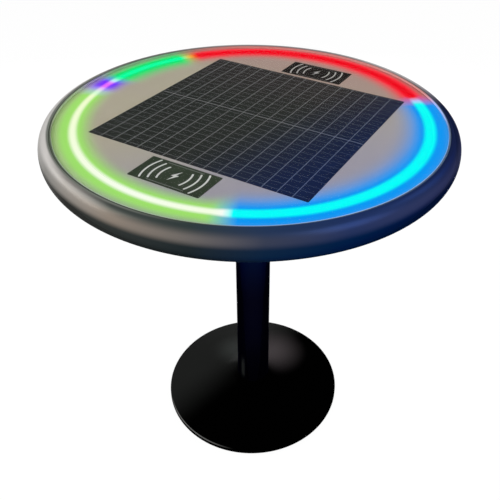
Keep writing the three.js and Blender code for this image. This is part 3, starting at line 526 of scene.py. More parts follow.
def base_gloss_and_painted_light():
    """Gloss black, with painted dull grey light where the studio's light lies on it, behind the
    column and left of it, two painted highlight patches beside the column, and a thin painted
    highlight line on the rolled edge at the front left."""
    finish = Finish("base_gloss_black_painted_light")
    x, y, _ = finish.axes()
    peel = finish.noise(1000, 3)
    cloud = finish.noise(9, 3)
    right, back = seen(x, y)
    # Painted dull grey light behind and left of the column; the coat's weight follows it.
    painted_sheen = finish.span(0.6 * (back - right) + 0.02 * (cloud - 0.5), 0.0, 0.10)
    tone = finish.blend(painted_sheen, (1, 1, 1), (28, 29, 28))
    # Two painted highlight patches beside the column.
    for painted_highlight_right, painted_highlight_back, reach, strength, grey in (
            (0.048, 0.085, 0.095, 0.62, (84, 78, 80)), (-0.052, 0.095, 0.065, 0.38, (70, 74, 72))):
        away = distance(right - painted_highlight_right, back - painted_highlight_back)
        tone = finish.blend(strength * finish.span(away, reach, 0.0), tone, grey)
    # A thin painted highlight line on the rolled edge at the front left.
    radius = distance(x, y)
    line = finish.span(radius, 0.2032, 0.2042) * (1.0 - finish.span(radius, 0.2052, 0.2058))
    line = line * finish.span(-0.7 * (right + back), 0.165, 0.198)
    tone = finish.blend(line, tone, (120, 120, 118))
    return finish.surface(
        Base_Color=tone, Roughness=0.25 + 0.06 * (cloud - 0.5) + 0.06 * (peel - 0.5),
        Specular_IOR_Level=0.0, Coat_Weight=0.06 * painted_sheen, Coat_Roughness=0.2,
        Normal=finish.relief(peel, 0.3, 0.008))


def gasket_finish():
    """Dark rubber with a little of the ring's light painted on as glow, its inner side painted
    paler as if lit at the rear and at the left, where it glows more."""
    finish = Finish("gasket_rubber")
    light, _ = light_colours(finish)
    x, y, _ = finish.axes()
    grain = finish.noise(1400, 3)
    tone = finish.blend(grain, (34, 34, 34), (24, 24, 25))
    depth = distance(x, y) - gasket_inner * MM
    # Painted light on the inner side at the rear and left: pink at the rear, green-grey at the
    # left.
    painted_lit_wall = finish.span(depth, 0.0011, 0.0004) * finish.span(seen(x, y)[1], -0.12, 0.02)
    painted_lit_wall_tone = finish.blend(finish.span(x, -0.33, -0.22), (138, 140, 129), (196, 166, 158))
    tone = finish.blend(painted_lit_wall, tone, painted_lit_wall_tone)
    # Painted glow of the ring's light: the rubber is no lamp.
    glow = finish.blend(0.16 + 0.6 * painted_lit_wall, black, light)
    return finish.lit(
        Base_Color=tone, Roughness=0.5 + 0.1 * grain, Emission_Color=glow,
        Specular_IOR_Level=0.3, Normal=finish.relief(grain, 0.35, 0.02))


def ground_edge_finish():
    """The glass's ground bevel, frosted, which carries the ring's light."""
    finish = Finish("glass_ground_edge")
    light, _ = light_colours(finish)
    frost = finish.noise(1800, 2)
    tone = finish.blend(frost, (150, 154, 154), (176, 180, 180))
    # Painted glow: the ring's light on the frosted bevel, which is no lamp.
    glow = finish.blend(0.5 + 0.2 * frost, black, light)
    return finish.lit(
        Base_Color=tone, Roughness=0.35 + 0.2 * frost, Emission_Color=glow,
        Normal=finish.relief(frost, 0.3, 0.02))


def light_colours(finish):
    """The ring of light by the angle round the table and the distance from the tube's middle:
    the light to add, and the share of the surface that it covers."""
    x, y, _ = finish.axes()
    turn = (y.angle(x) / (2 * math.pi) + (2 - light_start_angle / (2 * math.pi))).fraction()
    drift = finish.ramp(turn, [
        (0.250, 0.0), (0.340, 0.0024), (0.520, 0.0018), (0.660, 0.0058), (0.780, 0.0068),
        (0.900, 0.0030), (1.000, 0.0)])
    middle = distance(x - light_x * MM, y - light_y * MM)
    off = middle - light_radius * MM - drift.grey()

    lime, lime_glow = (243, 255, 206), (158, 224, 106)
    blue, blue_glow = (0, 253, 252), (0, 150, 245)
    red, red_glow = (241, 0, 24), (247, 40, 58)
    green, green_glow = (0, 252, 160), (0, 228, 112)
    violet, violet_glow = (236, 106, 255), (120, 48, 252)
    seam, seam_glow = (216, 253, 214), (168, 210, 176)
    lilac, lilac_glow = (233, 201, 255), (160, 138, 240)
    core = finish.ramp(turn, [
        (0.000, seam), (0.008, lime), (0.200, (248, 255, 238)),
        (0.270, (246, 255, 228)), (0.278, (247, 254, 248)), (0.285, blue),
        (0.574, blue), (0.582, (190, 190, 246)), (0.590, red),
        (0.862, red), (0.870, (240, 190, 70)), (0.878, green),
        (0.960, green), (0.968, (190, 244, 255)), (0.974, violet),
        (0.984, violet), (0.990, lilac), (0.998, seam)])
    glow = finish.ramp(turn, [
        (0.000, seam_glow), (0.008, lime_glow), (0.268, lime_glow),
        (0.288, blue_glow), (0.570, blue_glow), (0.594, red_glow),
        (0.860, red_glow), (0.880, green_glow), (0.956, green_glow),
        (0.972, violet_glow), (0.983, violet_glow), (0.990, lilac_glow), (0.998, seam_glow)])
    half_width = finish.ramp(turn, [
        (0.000, 0.0062), (0.150, 0.0066), (0.270, 0.0072), (0.286, 0.0105), (0.574, 0.0105),
        (0.590, 0.0095), (0.862, 0.0095), (0.878, 0.0085), (0.960, 0.0085), (0.975, 0.0065),
        (1.000, 0.0062)])
    spread = finish.ramp(turn, [
        (0.264, 0.63), (0.289, 1.0), (0.572, 0.98), (0.592, 0.74), (0.860, 0.76),
        (0.880, 0.95), (0.955, 0.93), (0.972, 0.70), (0.994, 0.70), (1.000, 0.63)])
    reach = [(-75, 0.0), (-62, 0.04), (-52, 0.13), (-42, 0.33), (-32, 0.60), (-26, 0.78),
             (-20, 0.92), (-14, 1.0), (17, 1.0), (25, 0.97), (31, 0.84), (38, 0.56), (46, 0.36),
             (55, 0.2)]
    outer_spread = finish.ramp(turn, [
        (0.264, 0.69), (0.289, 1.0), (0.572, 0.98), (0.592, 0.55), (0.860, 0.55),
        (0.880, 0.62), (0.955, 0.62), (0.972, 0.66), (0.994, 0.66), (1.000, 0.69)])
    spread = finish.blend(off > 0.0, spread, outer_spread).grey()
    first, last = reach[0][0], reach[-1][0]
    share = finish.ramp(
        (off / spread - first * MM) / ((last - first) * MM),
        [((place - first) / (last - first), value) for place, value in reach], "B_SPLINE").grey()
    inside = finish.span(abs(off), half_width + 0.0050, half_width - 0.0050)
    glow = finish.blend(share, black, glow)
    return finish.blend(inside, glow, core), share


def deck_finish():
    """Warm grey laminate with a fine print grain, painted lilac-grey towards the right front as
    blue light and pinker towards the rear as red light, under the ring's glow painted on as light
    that it gives off.
    """
    finish = Finish("deck_laminate")
    x, y, _ = finish.axes()
    light, share = light_colours(finish)
    # Painted blue light towards the right front.
    painted_blue_light = finish.span(0.8 * x - 0.6 * y, -0.05, 0.28)
    tone = finish.blend(painted_blue_light, (157, 149, 133), (140, 136, 149))
    # Painted red light towards the rear.
    tone = finish.blend(finish.span(y, 0.12, 0.25), tone, (150, 129, 121))
    fleck = finish.noise(420, 4)
    tone = finish.blend(0.16 * fleck, tone, (120, 112, 104))
    # Painted glow: the ring's light takes the place of the board's colour where it falls.
    base = finish.blend(share, tone, (6, 6, 6))
    shine = 0.5 + 0.12 * (finish.noise(30, 2) - 0.5)
    return finish.lit(
        Base_Color=base, Roughness=shine, Emission_Color=light,
        Specular_IOR_Level=0.0, Normal=finish.relief(fleck, 0.2, 0.02))


def tube_finish():
    """Milky silicone with the strip's light coming through it."""
    finish = Finish("tube_silicone")
    light, _ = light_colours(finish)
    haze = finish.noise(160, 2)
    base = finish.blend(haze, (6, 6, 6), (10, 10, 10))
    return finish.lit(
        Base_Color=base, Roughness=0.4 + 0.1 * haze, Emission_Color=light,
        Specular_IOR_Level=0.0, Normal=finish.relief(haze, 0.2, 0.05))


def painted_blue_light_share(finish):
    """The share of painted blue light that turns the cells and wires from charcoal to navy, towards
    the front right corner.
    """
    x, y, _ = finish.axes()
    return finish.span(x - 0.3 * y, 0.02, 0.27)


def wire_finish():
    """Dull plated wire, with painted blue light towards the front right corner."""
    finish = Finish("cell_wire")
    grain = finish.noise(900, 2)
    tone = finish.blend(painted_blue_light_share(finish), (112, 114, 114), (64, 78, 112))
    tone = finish.blend(0.2 * grain, tone, (60, 64, 70))
    return finish.surface(Base_Color=tone, Roughness=0.45 + 0.1 * grain, Specular_IOR_Level=0.0)


def cell_finish():
    """Dark charcoal solar cells, painted navy towards the front right as blue light and warmer
    towards the rear as red light, with their pale gaps and faint fingers.
    """
    finish = Finish("solar_cell_glass")
    x, y, _ = finish.axes()
    part = ((x - strip_first * MM) / (strip_pitch * MM)).fraction()
    to_gap = (0.5 - abs(part - 0.5)) * (strip_pitch * MM)
    seam = to_gap < strip_gap * MM / 2
    middle = abs(y - seam_y * MM) < 0.0008
    outside = abs(x - panel_x * MM) > (panel_length / 2 - 1.2) * MM
    navy = painted_blue_light_share(finish)
    cloud = finish.noise(24, 3)
    strip_tone = finish.noise(90, 1, stretch=(0.42, 0.02, 1.0))
    charcoal = finish.blend(cloud, (34, 36, 33), (42, 43, 40))
    # Painted warm light towards the rear.
    charcoal = finish.blend(finish.span(y, -0.02, 0.20), charcoal, (45, 41, 40))
    # Painted blue light turns the cells navy towards the front right.
    tone = finish.blend(navy, charcoal, finish.blend(cloud, (12, 24, 54), (18, 31, 68)))
    tone = finish.blend(0.25 * strip_tone, tone, (34, 36, 40))
    finger = ((y + 1.0) / 0.00175).fraction()
    tone = finish.blend(0.10 * (finger < 0.2), tone, (90, 92, 96))
    line = seam.most(middle) * (1 - outside)
    # The wires between the cells take the painted blue light too.
    wire = finish.blend(navy, (128, 128, 129), (88, 102, 138))
    tone = finish.blend(line, tone, finish.blend(0.3 * cloud, wire, (110, 112, 116)))
    shine = 0.32 + 0.12 * cloud + 0.2 * line
    return finish.surface(
        Base_Color=tone, Roughness=shine, Specular_IOR_Level=0.0,
        Normal=finish.relief(finish.noise(900, 2), 0.1, 0.01))


def pad_tones_with_painted_light(name, front_painted_lit_tones, rear_painted_dim_tones):
    """Matt moulding or print on a pad, with painted light: warmer and dimmer on the rear pad than
    on the front one, as painted shade under warm light, and the front moulding tinted green as if
    lit by the ring.
    """
    finish = Finish(name)
    _, y, _ = finish.axes()
    grain = finish.noise(1100, 3)
    tone = finish.blend(finish.span(y, -0.1, 0.1), finish.blend(grain, *front_painted_lit_tones),
                        finish.blend(grain, *rear_painted_dim_tones))
    return finish.surface(Base_Color=tone, Roughness=0.46 + 0.08 * (grain - 0.5),
                          Specular_IOR_Level=0.0, Normal=finish.relief(grain, 0.3, 0.02))


def glass_finish():
    """Clear glass that lets the lamps through, and mirrors next to nothing."""
    finish = Finish("top_glass")
    smear = finish.noise(6, 3)
    tone = finish.blend(smear, (0.975, 0.985, 0.98, 1.0), (0.99, 0.995, 0.99, 1.0))
    clear = finish.node("ShaderNodeBsdfPrincipled", values={
        "Base Color": tone, "Roughness": 0.02 * smear, "IOR": 1.02, "Transmission Weight": 1.0})
    through = finish.node("ShaderNodeBsdfTransparent", values={
        "Color": (0.97, 0.98, 0.975, 1.0)})
    shadow = finish.node("ShaderNodeLightPath", output="Is Shadow Ray")
    return finish.show(finish.node("ShaderNodeMixShader", values={0: shadow, 1: clear, 2: through}))


def steel_finish():
    """Zinc-plated steel: pale spangle with small dull marks."""
    finish = Finish("zinc_plating")
    spangle = finish.node("ShaderNodeTexVoronoi", values={
        "Vector": finish.where(), "Scale": 220.0}, output="Color").grey()
    stain = finish.noise(35, 4)
    tone = finish.blend(spangle, (150, 152, 152), (178, 180, 182))
    tone = finish.blend(0.4 * stain, tone, (118, 116, 108))
    return finish.surface(
        Base_Color=tone, Roughness=0.32 + 0.16 * stain + 0.08 * spangle, Metallic=0.9,
        Normal=finish.relief(stain, 0.2, 0.05))


def board_finish():
    """Green board: lacquer over copper tracks, and rows of small bright pads."""
    finish = Finish("circuit_board_lacquer")
    x, y, _ = finish.axes()
    track = finish.node("ShaderNodeTexBrick", values={
        "Vector": finish.where(), "Scale": 120.0, "Color1": (1, 1, 1, 1),
        "Color2": (0.6, 0.6, 0.6, 1), "Mortar": black, "Mortar Size": 0.06}, output="Color").grey()
    spot_x, spot_y = (x / 0.00254).fraction() - 0.5, (y / 0.00254).fraction() - 0.5
    spot = (spot_x * spot_x + spot_y * spot_y) < 0.03
    tone = finish.blend(track, (16, 70, 42), (26, 96, 58))
    tone = finish.blend(spot * (finish.noise(60, 1) > 0.55), tone, (196, 190, 160))
    return finish.surface(Base_Color=tone, Roughness=0.3 + 0.2 * track,
                          Normal=finish.relief(track, 0.3, 0.04))


def coil_finish(centre_y):
    """Enamelled copper wire wound flat in rings, with painted shade in the grooves between the
    windings.
    """
    finish = Finish("coil_copper")
    x, y, _ = finish.axes()
    radius = distance(x - pad_x * MM, y - centre_y * MM)
    wave = abs((radius / 0.0009).fraction() - 0.5) * 2
    # Painted shade: darker towards the grooves between the windings.
    tone = finish.blend(wave, (196, 116, 62), (120, 60, 30))
    return finish.surface(Base_Color=tone, Roughness=0.3 + 0.15 * wave, Metallic=0.85,
                          Normal=finish.relief(1 - wave * wave, 0.8, 0.2))


def tape_finish():
    """White strip tape with copper pads between its chips."""
    finish = Finish("strip_tape")
    x, y, _ = finish.axes()
    part = (y.angle(x) * (light_radius / 16.6) + 100).fraction()
    pad = (part < 0.12) * 0.9
    tone = finish.blend(finish.noise(200, 2), (244, 244, 238), (228, 228, 220))
    tone = finish.blend(pad, tone, (196, 140, 86))
    return finish.surface(Base_Color=tone, Roughness=0.45 + 0.1 * finish.noise(90, 2))


def wrap_finish():
    """Blue shrink wrap over a row of cells, with soft welts between them and painted shade in the
    dips at the welts.
    """
    finish = Finish("battery_wrap")
    _, y, _ = finish.axes()
    welt = abs(((y + 1.0) / 0.0184).fraction() - 0.5) * 2
    # Painted shade: darker towards the welts between the cells.
    tone = finish.blend(welt ** 3, (38, 72, 122), (26, 52, 92))
    crease = finish.noise(120, 3)
    return finish.surface(Base_Color=finish.blend(0.3 * crease, tone, (60, 96, 150)),
                          Roughness=0.28 + 0.1 * crease,
                          Normal=finish.relief(1 - welt ** 4, 0.5, 0.6))


black_rubber = coated("post_rubber", ((22, 22, 22), (14, 14, 15)), 0.62, 1400, 0.02)
black_plastic = coated("moulded_plastic", ((30, 30, 31), (22, 22, 23)), 0.42, 1100, 0.03)
pan_coat = coated("pan_powder_coat", ((36, 36, 38), (28, 28, 30)), 0.5, 800, 0.06)
# The column's black tones are tinted navy: painted blue light.
column_coat_painted_light = pedestal_coat_and_painted_light("column_satin_black_painted_light", ((9, 9, 26), (5, 5, 18)), 0.40)
plate_coat = coated("plate_satin_black", ((10, 10, 11), (6, 6, 7)), 0.42, 1000, 0.012)
# Front tones tinted green, rear tones dimmer and warmer: painted light and shade.
pad_coat = pad_tones_with_painted_light("pad_moulding", ((51, 59, 47), (43, 49, 41)),
                      ((35, 31, 30), (29, 26, 25)))
button_coat = coated("button_moulding", ((92, 94, 96), (78, 80, 82)), 0.4, 1200, 0.02)
print_ink = pad_tones_with_painted_light("pad_print", ((190, 190, 188), (176, 176, 174)),
                       ((164, 160, 157), (150, 146, 143)))
dim_ink = pad_tones_with_painted_light("pad_print_dim", ((112, 114, 112), (96, 98, 96)),
                     ((92, 89, 87), (80, 77, 75)))
iron_skin = coated("cast_iron_skin", ((52, 51, 50), (38, 37, 36)), 0.65, 260, 0.5, 900)
ferrite_skin = coated("ferrite_plate", ((58, 55, 52), (46, 44, 42)), 0.6, 700, 0.05)
glide_rubber = coated("glide_rubber", ((26, 26, 27), (18, 18, 19)), 0.6, 900, 0.04)
zinc_plating = steel_finish()
circuit_lacquer = board_finish()
cable_sleeve = coated("cable_sleeve", ((26, 26, 27), (16, 16, 17)), 0.5, 1500, 0.02)

# Rim, glass, gasket, deck and light tube


def rim_curve(from_z, to_z, inset, steps):
    """The bullnose between two heights: with h the height's share of the half height, the radius is
    the inner radius plus the depth times (1 - |h|^n)^(1/n), and h runs as a sine."""
    half, depth = (rim_top - rim_bottom) / 2 - inset, rim_bulge - inset
    start, end = np.arcsin(np.clip((np.array([from_z, to_z]) - rim_middle) / half, -1, 1))
    share = np.sin(np.linspace(start, end, steps + 1))
    reach = depth * np.maximum(1 - np.abs(share) ** rim_exponent, 0) ** (1 / rim_exponent)
    return np.stack([rim_curve_radius + reach, rim_middle + half * share], -1)


outside = rim_curve(rim_bottom, rim_top, 0, 44)
hollow = rim_curve(ledge_bottom, flange_top, rim_wall, 14)
rim_section = np.vstack([
    [(recess_radius, rim_bottom)], outside,
    [(lip_radius, rim_top - 0.8), (lip_radius, ledge_top),
     (ledge_radius, ledge_top), (ledge_radius, ledge_bottom)],
    hollow,
    [(flange_radius, flange_top), (flange_radius, flange_bottom),
     (recess_radius, flange_bottom)],
])
rim_rounds = [0.5, *np.zeros(len(outside)), 0.4, 0.8, 0.6, 0.6, *np.zeros(len(hollow)),
              0.5, 0.5, 0.5]
hold(revolved("rim_ring_fine", rounded(rim_section, rim_rounds), wide),
     rim_metal_and_painted_light(), "rim_metal", "rim_ring")

glass_section = rounded([
    (0, glass_bottom), (glass_radius, glass_bottom), (glass_radius, glass_top_z - glass_bevel),
    (glass_radius - glass_bevel, glass_top_z), (0, glass_top_z)], 0.18, closed=False)
hold(revolved("glass_top_fine", glass_section, wide, closed=False, sharp=20),
     glass_finish(), "clear_glass", "glass_top")
bevel_low, bevel_in = glass_top_z - glass_bevel, glass_radius - glass_bevel
edge_section = [
    (glass_radius + 0.03, bevel_low + 0.03), (glass_radius + 0.08, bevel_low + 0.08),
    (bevel_in + 0.08, glass_top_z + 0.08), (bevel_in + 0.03, glass_top_z + 0.03)]
hold(revolved("glass_ground_edge", edge_section, wide), ground_edge_finish(), "clear_glass")

gasket_section = rounded([
    (gasket_inner, deck_bottom), (gasket_outer, deck_bottom),
    (gasket_outer, gasket_top), (gasket_inner, gasket_top)], [0.4, 0.4, 1.2, 1.2], points=6)
hold(revolved("glass_gasket_fine", gasket_section, wide),
     gasket_finish(), "black_rubber", "glass_gasket")

deck_section = rounded([
    (0, deck_bottom), (glass_radius, deck_bottom), (glass_radius, deck_top),
    (light_radius + groove_half, deck_top), (light_radius + groove_half, groove_bottom),
    (light_radius - groove_half, groove_bottom), (light_radius - groove_half, deck_top),
    (0, deck_top)], [0, 0.6, 0.5, 0.4, 0.4, 0.4, 0.4, 0], closed=False, points=3)
deck = revolved("deck_board_fine", deck_section, wide, closed=False)
above, below = deck_top + 1, deck_bottom - 1


def pocket(length, width, depth, centre):
    """The deck's pocket for a plate, with a small gap all round and below."""
    return plate(length + 2 * pocket_gap, width + 2 * pocket_gap, pocket_corner,
                 deck_top - depth - pocket_gap, above, centre)


pockets = [
    pocket(panel_length, panel_width, panel_depth, (panel_x, 0)),
    plate(junction_length, junction_width, hole_corner, below, above, (junction_x, 0)),
    disc(lead_hole, below, deck_top, (light_radius * math.cos(light_start_angle),
                                      light_radius * math.sin(light_start_angle))),
]
for y in (-pad_y, pad_y):
    pockets += [
        pocket(pad_length, pad_width, pad_depth, (pad_x, y)),
        plate(tray_length, tray_width, hole_corner, tray_hole_bottom, above, (pad_x, y)),
        disc(lead_hole, below, deck_top, (tray_lead_x, y)),
    ]
hold(cut(deck, pockets), deck_finish(), "grey_deck", "deck_board")

tube_inner = tube_half - tube_wall
tube_section = np.array([light_radius, 0]) + [
    (tube_inner, tube_bottom), (tube_half, tube_bottom), (tube_half, deck_top),
    (-tube_half, deck_top), (-tube_half, tube_bottom), (-tube_inner, tube_bottom),
    (-tube_inner, deck_top - tube_wall), (tube_inner, deck_top - tube_wall)]
tube_rounds = [0.3, 0.3, 1.0, 1.0, 0.3, 0.3, 0.8, 0.8]
hold(revolved("light_tube_fine", rounded(tube_section, tube_rounds), wide),
     tube_finish(), "milky_silicone", "light_tube")

# Panel and pads


def wire_places():
    """The cross wires of every strip: from the seam out to both sides in even steps, each strip's
    row set off a little from its neighbour's."""
    strip = np.arange(strip_count)
    x = strip_first + (strip + 0.5) * strip_pitch
    shift = ((strip * 7) % 5 - 2) * 0.7
    out = seam_to_wire + wire_step * np.arange(wires_per_half)
    y = seam_y + np.r_[-out[::-1], out]
    place_x, place_y = np.meshgrid(x, y, indexing="ij")
    return np.stack([place_x.ravel(), (place_y + shift[:, None]).ravel(),
                     np.full(place_x.size, deck_top + 0.04)], -1)


hold(boxes("cell_wires", wire_places(), (strip_pitch - strip_gap - 0.4, 0.5, 0.12)),
     wire_finish(), "solar_cell")
dress(cell_finish(), "solar_laminate")


def arc_outline(centre_x, radius, half_angle, width, mirrored):
    """A bent bar with round ends: two arcs at the radius plus and minus half the width, closed by
    half circles."""
    sweep = np.linspace(-half_angle, half_angle, 25)
    turn = np.linspace(0, math.pi, 9)[1:-1]
    far = arc(radius, half_angle) + arc(width / 2, half_angle + turn)
    near = arc(radius, -half_angle) + arc(width / 2, math.pi - half_angle + turn)
    outline = np.vstack([arc(radius + width / 2, sweep), far,
                         arc(radius - width / 2, sweep[::-1]), near]) + [centre_x, 0.0]
    return outline * [-1.0, 1.0] if mirrored else outline


bolt_outline = [(5, 16), (-6.5, -1.5), (-0.8, -1.5), (-4.5, -16), (6.5, 2.5), (0.8, 2.5)]
arcs = [arc_outline(-19.0, radius, math.radians(23.5), 3.2, mirrored)
        for radius in (45.0, 59.0, 73.0) for mirrored in (False, True)]
rules = [np.array([(-34, -0.6), (37, -0.6), (37, 0.6), (-34, 0.6)]) + [0, y]
         for y in (28.5, -29.0)]
for end, y in (("front", -pad_y), ("rear", pad_y)):
    hold_softened(0.5, pad_coat, "pad_grey", f"charge_pad_{end}")
    for sign, outlines, thick, ink in (("pad_mark", [bolt_outline, *arcs], 0.1, print_ink),
                                       ("pad_rules", rules, 0.08, dim_ink)):
        printed = extruded(
            f"{sign}_{end}", outlines, deck_top - 0.05, deck_top + thick, (pad_x, y))
        hold(printed, ink, "strip_white")
    dress(black_plastic, f"charger_tray_{end}")
    dress(circuit_lacquer, f"charger_board_{end}")
    dress(ferrite_skin, f"charger_ferrite_{end}")
    dress(coil_finish(y), f"charger_coil_{end}")

# Underside

across = np.linspace(-1, 1, 17)
bead = np.stack([bead_radius + bead_half * across,
                 -bead_depth * (1 + np.cos(math.pi * across)) / 2], -1)
pan_section = np.vstack([
    [(0, pan_bottom)], bead + [0, pan_bottom],
    [(pan_radius, pan_bottom), (pan_radius, pan_top)],
    bead[::-1] + [0, pan_top], [(0, pan_top)]])
pan_rounds = [*np.zeros(18), 0.5, 0.5, *np.zeros(18)]
pan = turned("underside_pan_fine", pan_section, pan_rounds, wide)
below, above = pan_bottom - 1, pan_top + 1
button_at = (switch_side, -switch_circle)
switch_low, switch_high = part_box("power_switch_body")
switch_length, switch_width = [
    (high - low) / MM - 2 * switch_bezel for low, high in zip(switch_low[:2], switch_high[:2])]
pan_holes = [
    *[disc(bolt_hole, below, above, place) for place in ring(bolt_circle, 4)],
    disc(rod_hole, below, above),
    disc(button_body + pocket_gap, below, above, button_at, fine),
    plate(switch_length + 2 * pocket_gap, switch_width + 2 * pocket_gap, 0.4, below, above,
          (-switch_side, -switch_circle))]
hold(cut(pan, pan_holes), pan_coat, "pan_black", "underside_pan")

screw_section = [
    (0, pan_bottom - 1.6), (screw_rim, pan_bottom - 1.5), (screw_radius, pan_bottom - 0.1),
    (screw_radius, pan_bottom), (0, pan_bottom)]
for i, place in enumerate(ring(screw_circle, 8, 22.5)):
    screw = turned(f"pan_screw_{i + 1}", screw_section, [0, 1.0, 0.2, 0, 0], tiny, place)
    slots = [plate(length, width, 0.1, pan_bottom - 2.5, pan_bottom - 0.8, place)
             for length, width in ((4.6, 0.9), (0.9, 4.6))]
    hold(cut(screw, slots), zinc_plating, "zinc_steel")

dress(zinc_plating, "support_spider", "tie_rod", "battery_strap_1", "battery_strap_2")
dress(black_rubber, *[f"deck_post_{i}" for i in range(1, 5)])
dress(tape_finish(), "led_strip")
dress(cable_sleeve, "battery_lead", "solar_lead", "charger_lead_front", "charger_lead_rear",
      "controller_lead", "strip_lead", "power_switch_lead", "mode_switch_lead")
hold_softened(2.0, wrap_finish(), "battery_blue", "battery_pack")
hold_softened(1.0, black_plastic, "black_plastic",
              "charge_controller", "led_controller", "solar_junction_box")
hold_softened(0.4, zinc_plating, "zinc_steel", "upper_rod_nut", "lower_rod_nut")

# Switches

hold_softened(0.4, black_plastic, "black_plastic", "power_switch_body", "power_rocker")
face, pin_top = [corner.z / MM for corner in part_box("mode_button")]
shoulder = face + 7.0
button_section = [(0, face), (button_radius, face), (button_radius, shoulder),
                  (pin_radius, shoulder), (pin_radius, pin_top), (0, pin_top)]
hold(turned("mode_button_fine", button_section, [0, 0.8, 0.3, 0.2, 0.2, 0], small, button_at),
     button_coat, "button_grey", "mode_button")
bezel_bottom, body_top = [corner.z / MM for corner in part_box("mode_switch_body")]
ceiling, bezel_top = body_top - 1.5, bezel_bottom + 2.0
switch_section = [
    (0, ceiling), (bore_radius, ceiling), (bore_radius, bezel_bottom),
    (bezel_radius, bezel_bottom), (bezel_radius, bezel_top), (button_body, bezel_top),
    (button_body, body_top), (0, body_top)]
switch_rounds = [0, 0.2, 0.4, 0.8, 0.2, 0.2, 0.4, 0]
hold(turned("mode_switch_body_fine", switch_section, switch_rounds, small, button_at),
     black_plastic, "black_plastic", "mode_switch_body")

# Pedestal

plate_section = [
    (0, plate_bottom), (collar_inner, plate_bottom), (collar_inner, collar_bottom),
    (collar_outer, collar_bottom), (collar_outer, plate_bottom), (plate_radius, plate_bottom),
    (plate_radius, plate_top), (0, plate_top)]
top_plate = turned("top_plate_fine", plate_section, [0, 0.2, 0.5, 0.8, 3.0, 1.2, 0.6, 0], middling)
below, above = plate_bottom - 1, plate_top + 1
plate_holes = [disc(bolt_hole, below, above, place) for place in ring(bolt_circle, 4)]
plate_holes.append(disc(rod_hole, below, above))
hold(cut(top_plate, plate_holes), plate_coat, "satin_black", "top_plate")
hold_softened(0.5, zinc_plating, "zinc_steel", *[f"plate_bolt_{i}" for i in range(1, 5)])

column_section = rounded([
    (column_inner, column_bottom), (column_radius, column_bottom),
    (column_radius, column_top), (column_inner, column_top)], 0.4)
hold(revolved("column_tube_fine", column_section, middling),
     column_coat_painted_light, "satin_black", "column_tube")


def cover_height(radius):
    """The trumpet's height: with s the share of the way in from the edge to the neck, the edge's
    height plus the cone's rise times s plus the neck's rise times s to the ninth."""
    share = (base_radius - radius) / (base_radius - neck_radius)
    return base_edge_z + cone_rise * share + neck_rise * share**neck_power


def cover_curve(from_radius, steps, drop):
    """The trumpet's curve from a radius in to the neck, closer together near the neck."""
    share = np.sin(np.linspace(0, math.pi / 2, steps + 1))
    radius = from_radius + (neck_radius - from_radius) * share
    return np.stack([radius, cover_height(radius) - drop], -1)


fillet_centre = base_radius - base_fillet
fillet_top = cover_height(fillet_centre)
sweep = np.linspace(0, math.pi / 2, 9)[:-1]
fillet = arc(base_fillet, sweep) + [fillet_centre, fillet_top - base_fillet]
upper = cover_curve(fillet_centre, 56, 0)
under = cover_curve(base_radius - cover_wall, 40, cover_wall)[::-1]
cover_section = np.vstack([
    [(base_radius - cover_wall, base_lift), (base_radius, base_lift)], fillet, upper, under])
cover_rounds = [0.3, 0.5, *np.zeros(len(fillet) + len(upper) + len(under))]
hold(revolved("base_cover_fine", rounded(cover_section, cover_rounds), wide),
     base_gloss_and_painted_light(), "satin_black", "base_cover")

weight_section = [
    (0, nut_ceiling), (nut_recess, nut_ceiling), (nut_recess, weight_bottom),
    (nut_recess + 2.2, weight_bottom), (weight_radius - 2.3, weight_bottom),
    (weight_radius, weight_bottom), (weight_radius, weight_edge), (spigot_foot, weight_top),
    (spigot_radius, weight_top), (spigot_radius, spigot_top), (0, spigot_top)]
weight_rounds = [0, 0.8, 1.0, 0, 0, 1.2, 0.6, 2.0, 0.8, 1.0, 0]
weight = turned("base_weight_fine", weight_section, weight_rounds, middling)
rod_bore = disc(rod_hole, nut_ceiling - 1, spigot_top + 1, steps=fine)
stud_holes = [disc(stud_hole, weight_bottom - 1, weight_top + 1, place, fine)
              for place in ring(glide_circle, 4, 45)]
hold(cut(weight, [rod_bore, *stud_holes]), iron_skin, "cast_iron", "base_weight")

glide_section = [(0, 0), (glide_foot, 0), (glide_foot, foot_top), (glide_stud, foot_top),
                 (glide_stud, stud_top), (0, stud_top)]
for i, place in enumerate(ring(glide_circle, 4, 45)):
    hold(turned(f"glide_{i + 1}_fine", glide_section, [0, 1.2, 0.5, 0.2, 0.6, 0], fine, place),
         glide_rubber, "glide_black", f"glide_{i + 1}")

# Floor, light and camera


def background_rays(finish):
    """1 for the rays that show the background as it is: the camera's, glossy and transmitted ones,
    but not those that carry soft light on through the glass."""
    path = finish.node("ShaderNodeLightPath", output=None)
    camera_ray, glossy_ray, transmitted_ray, soft_bounces = [
        Tap(finish, path.outputs[kind]) for kind in
        ("Is Camera Ray", "Is Glossy Ray", "Is Transmission Ray", "Diffuse Depth")]
    return camera_ray.most(glossy_ray).most(transmitted_ray) * (soft_bounces < 0.5)


def floor_finish():
    """White floor that keeps a soft shadow, and is clear from below, where the switches are."""
    finish = Finish("floor_white")
    cloud = finish.noise(1.5, 2)
    tone = finish.blend(cloud, (0.90, 0.90, 0.90, 1.0), (0.93, 0.93, 0.93, 1.0))
    matt = finish.node("ShaderNodeBsdfDiffuse", values={"Color": tone})
    bright = finish.node("ShaderNodeEmission", values={"Color": (1, 1, 1, 1), "Strength": 1.03})
    top = finish.node("ShaderNodeMixShader", values={
        0: 0.94 * background_rays(finish), 1: matt, 2: bright})
    below = finish.node("ShaderNodeNewGeometry", output="Backfacing")
    clear = finish.node("ShaderNodeBsdfTransparent", values={"Color": (1, 1, 1, 1)})
    return unsampled(finish.show(
        finish.node("ShaderNodeMixShader", values={0: below, 1: top, 2: clear})))


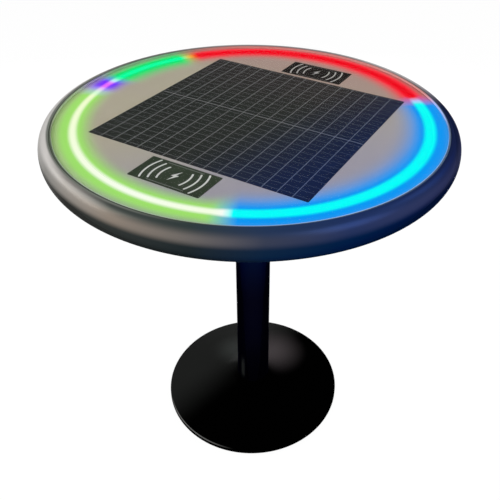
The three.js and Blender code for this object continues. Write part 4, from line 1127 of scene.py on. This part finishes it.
floor_corners = np.array([(-1, -1, 0), (1, -1, 0), (1, 1, 0), (-1, 1, 0)]) * floor_half
floor = piece_of("floor", floor_corners * MM, [(0, 1, 2, 3)])
floor.data.materials.append(floor_finish())

world = bpy.data.worlds.new("studio")
bpy.context.scene.world = world
sky = Finish("studio", world)
sky_light = sky.node("ShaderNodeBackground", values={
    "Color": (1, 1, 1, 1), "Strength": 0.2 + 0.8 * background_rays(sky)})
sky.node("ShaderNodeOutputWorld", values={"Surface": sky_light}, output=None)


def stand(thing, axes, place):
    """Puts a lamp or the camera at a place, with its three axes as columns."""
    turn = Matrix(axes.tolist()).to_4x4()
    turn.translation = place
    thing.matrix_world = turn


def soft_lamp(name, place, target, size, power):
    """A square lamp aimed at a point."""
    lamp = bpy.data.lights.new(name, "AREA")
    lamp.shape, lamp.size, lamp.energy = "SQUARE", size, power
    holder = placed(name, lamp)
    back = np.array(place, float) - np.array(target, float)
    back /= np.linalg.norm(back)
    right = np.cross((0, 0, 1), back)
    right = right / np.linalg.norm(right)
    up = np.cross(back, right)
    stand(holder, np.column_stack([right, up, back]), place)
    holder.visible_camera = False


soft_lamp("left_lamp", (-2.6, -1.4, 2.4), (0, 0, 0.6), 2.2, 56.0)
soft_lamp("right_lamp", (2.6, -0.4, 2.6), (0, 0, 0.6), 1.8, 34.0)
soft_lamp("back_lamp", (1.8, 2.6, 2.8), (0, 0, 0.4), 1.8, 28.0)
soft_lamp("low_lamp_left", (-1.25, 1.75, 0.62), (0, 0, 0.05), 1.1, 20.0)
soft_lamp("low_lamp_right", (-0.1, 1.9, 0.74), (0, 0, 0.05), 0.7, 12.0)

camera_data = bpy.data.cameras.new("camera")
camera_data.sensor_width, camera_data.lens = 36.0, 45.16
camera_data.shift_x, camera_data.shift_y = -0.0603, -0.0963
camera_data.clip_start, camera_data.clip_end = 0.05, 50.0
camera = placed("camera", camera_data)
camera_axes = np.array([
    [0.87345, -0.28498, 0.39480], [0.48642, 0.47420, -0.73385], [0.02192, 0.83302, 0.55281]])
stand(camera, camera_axes, (0.5574, -0.9176, 1.2619))
bpy.context.scene.camera = camera
bpy.context.scene.view_settings.view_transform = "Standard"
